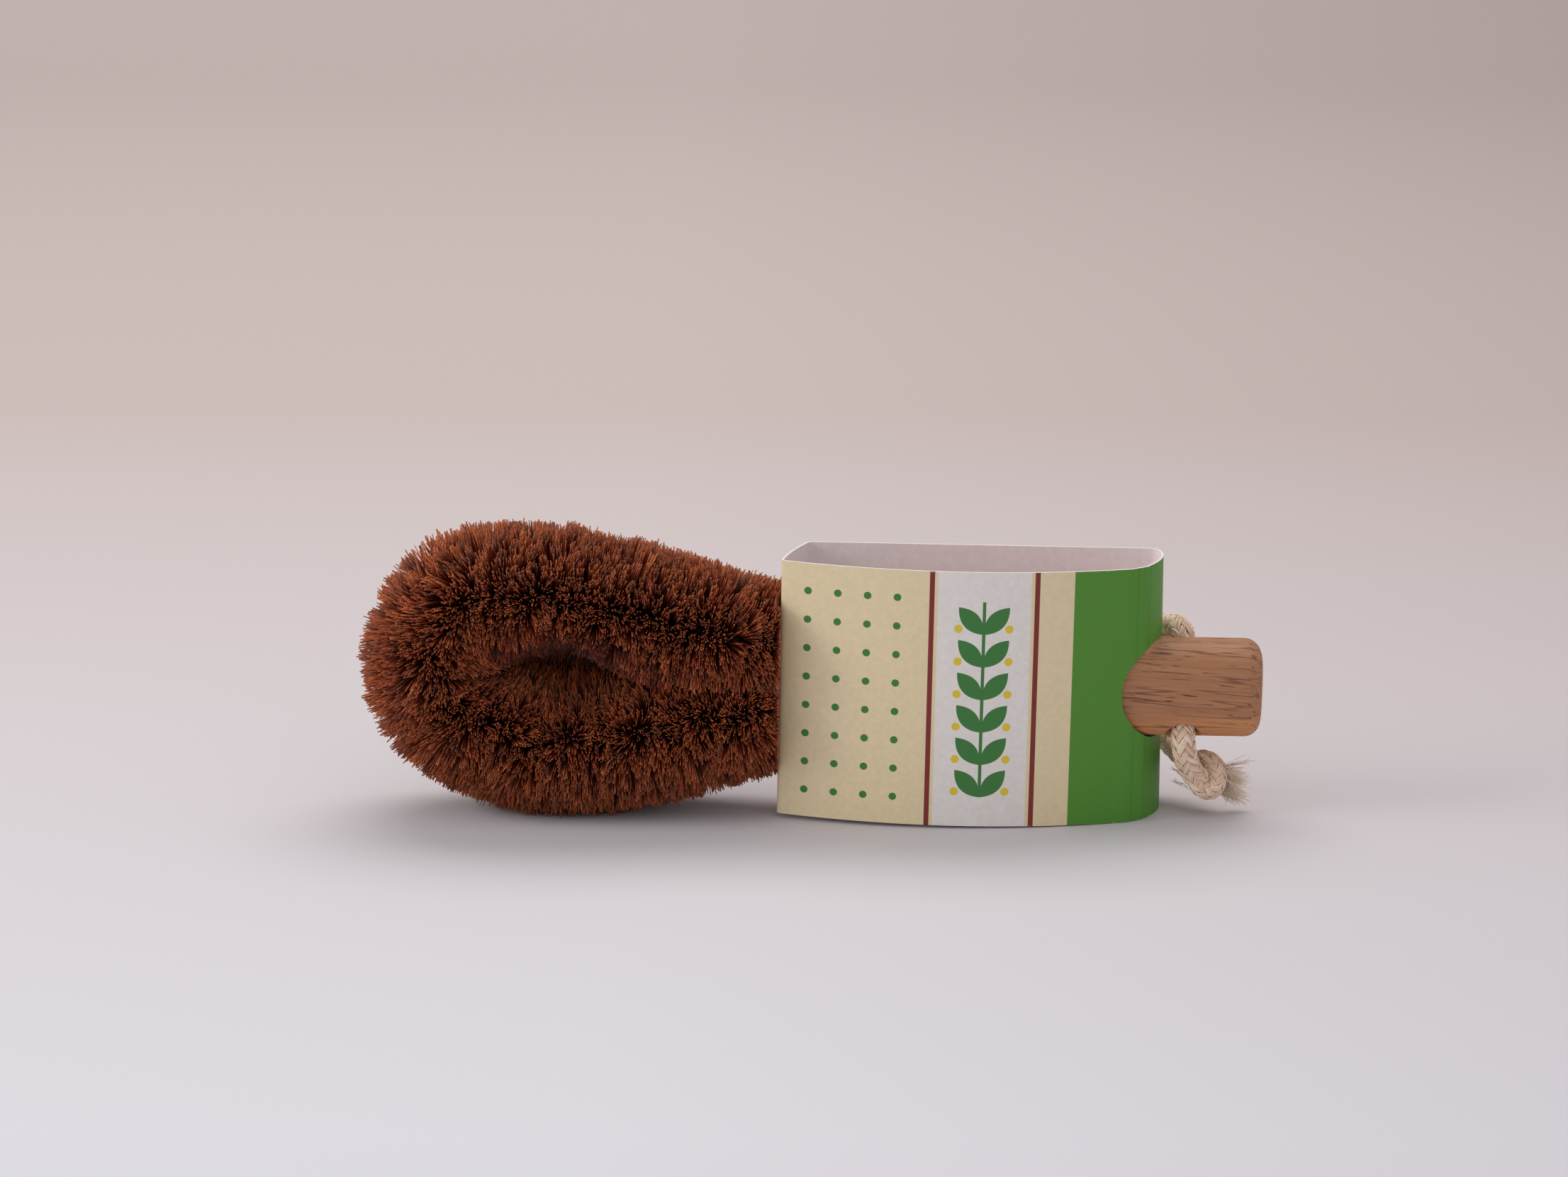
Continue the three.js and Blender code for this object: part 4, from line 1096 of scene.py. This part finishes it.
# Studio: a pale paper sweep that serves as floor and backdrop, a broad soft light overhead, a second one
# from the left, even light from all round, and a long lens a little above the brush.
FLOOR_FRONT = -1.5
FLOOR_BACK = 0.95
SWEEP_RADIUS = 0.5
SWEEP_STEPS = 24
BACKDROP_TOP = 2.0
HALF_WIDTH = 2.2
FLOOR_PAPER = (221, 220, 227)
SHADED_BACK_PAPER = (194, 182, 179)
SHADED_PAPER = (238, 235, 235)
SHADE_FROM_Y = -0.22
SHADE_TO_Y = 0.4
SHADE_FROM_X = -0.05
SHADE_TO_X = 0.35
ROUND_LIGHT = (0.86, 0.84, 0.85, 1)
ROUND_LIGHT_STRENGTH = 0.66
CAMERA_PITCH = math.radians(15.5)
CAMERA_ROLL = math.radians(0.33)
FOCAL_PIXELS = 8000
PHOTO_WIDTH = 2212
SENSOR_WIDTH = 36
CAMERA_PLACE = (-0.0075, -1.2975, 0.4145)

sweep_turns = np.linspace(0, math.pi / 2, SWEEP_STEPS)
profile = [(FLOOR_FRONT, 0.0)]
profile += [
    (FLOOR_BACK + SWEEP_RADIUS * math.sin(t), SWEEP_RADIUS * (1 - math.cos(t))) for t in sweep_turns
]
profile += [(FLOOR_BACK + SWEEP_RADIUS, BACKDROP_TOP)]
sweep_points = [(x, y, z) for y, z in profile for x in (-HALF_WIDTH, HALF_WIDTH)]
sweep_faces = [(2 * i, 2 * i + 1, 2 * i + 3, 2 * i + 2) for i in range(len(profile) - 1)]
sweep_mesh = bpy.data.meshes.new("paper_sweep")
sweep_mesh.from_pydata(sweep_points, [], sweep_faces)
sweep_mesh.shade_smooth()
sweep = bpy.data.objects.new("paper_sweep", sweep_mesh)
scene.collection.objects.link(sweep)
paper, tree, finish = new_finish("pale paper")
on_paper = shade(tree, "SeparateXYZ", {"Vector": shade(tree, "TexCoord").outputs["Object"]}).outputs
# Painted shade: the paper darkens and turns pinker farther back, and darkens again towards the right,
# where the light falls off
farther_shade = ranged(tree, on_paper["Y"], SHADE_FROM_Y, SHADE_TO_Y)
paper_tone = mixed(tree, farther_shade, paint(FLOOR_PAPER), paint(SHADED_BACK_PAPER))
shaded_tone = mixed(tree, 1.0, paper_tone, paint(SHADED_PAPER), "MULTIPLY")
paper_tone = mixed(tree, ranged(tree, on_paper["X"], SHADE_FROM_X, SHADE_TO_X), paper_tone, shaded_tone)
tree.links.new(paper_tone, finish.inputs["Base Color"])
finish.inputs["Roughness"].default_value = 0.9
finish.inputs["Specular IOR Level"].default_value = 0.1
sweep_mesh.materials.append(paper)


def soft_light(name, place, aim, size, power, colour):
    """A round or oval lamp that shines from its place towards its aim."""
    lamp = bpy.data.lights.new(name, "AREA")
    lamp.shape = "ELLIPSE"
    lamp.size, lamp.size_y = size
    lamp.energy = power
    lamp.color = colour
    light = bpy.data.objects.new(name, lamp)
    light.location = place
    light.rotation_euler = (Vector(aim) - Vector(place)).to_track_quat("-Z", "Y").to_euler()
    scene.collection.objects.link(light)


soft_light("overhead", place=(0.05, 0.6, 1.2), aim=(0, 0, 0), size=(1.6, 0.75), power=9.1,
           colour=(1.0, 0.98, 0.96))
soft_light("side_fill", place=(-2.0, -0.4, 0.95), aim=(0, 0, 0.03), size=(1.2, 1.2), power=19,
           colour=(1.0, 0.99, 0.98))

world = bpy.data.worlds.new("studio")
world.use_nodes = True
background = world.node_tree.nodes["Background"]
background.inputs["Color"].default_value = ROUND_LIGHT
background.inputs["Strength"].default_value = ROUND_LIGHT_STRENGTH
scene.world = world

lens = bpy.data.cameras.new("camera")
lens.sensor_width = SENSOR_WIDTH
lens.lens = FOCAL_PIXELS / PHOTO_WIDTH * SENSOR_WIDTH
lens.clip_end = 20
camera = bpy.data.objects.new("camera", lens)
camera.location = CAMERA_PLACE
camera.rotation_euler = (
    Matrix.Rotation(math.pi / 2 - CAMERA_PITCH, 3, "X") @ Matrix.Rotation(CAMERA_ROLL, 3, "Z")
).to_euler()
scene.collection.objects.link(camera)
scene.camera = camera
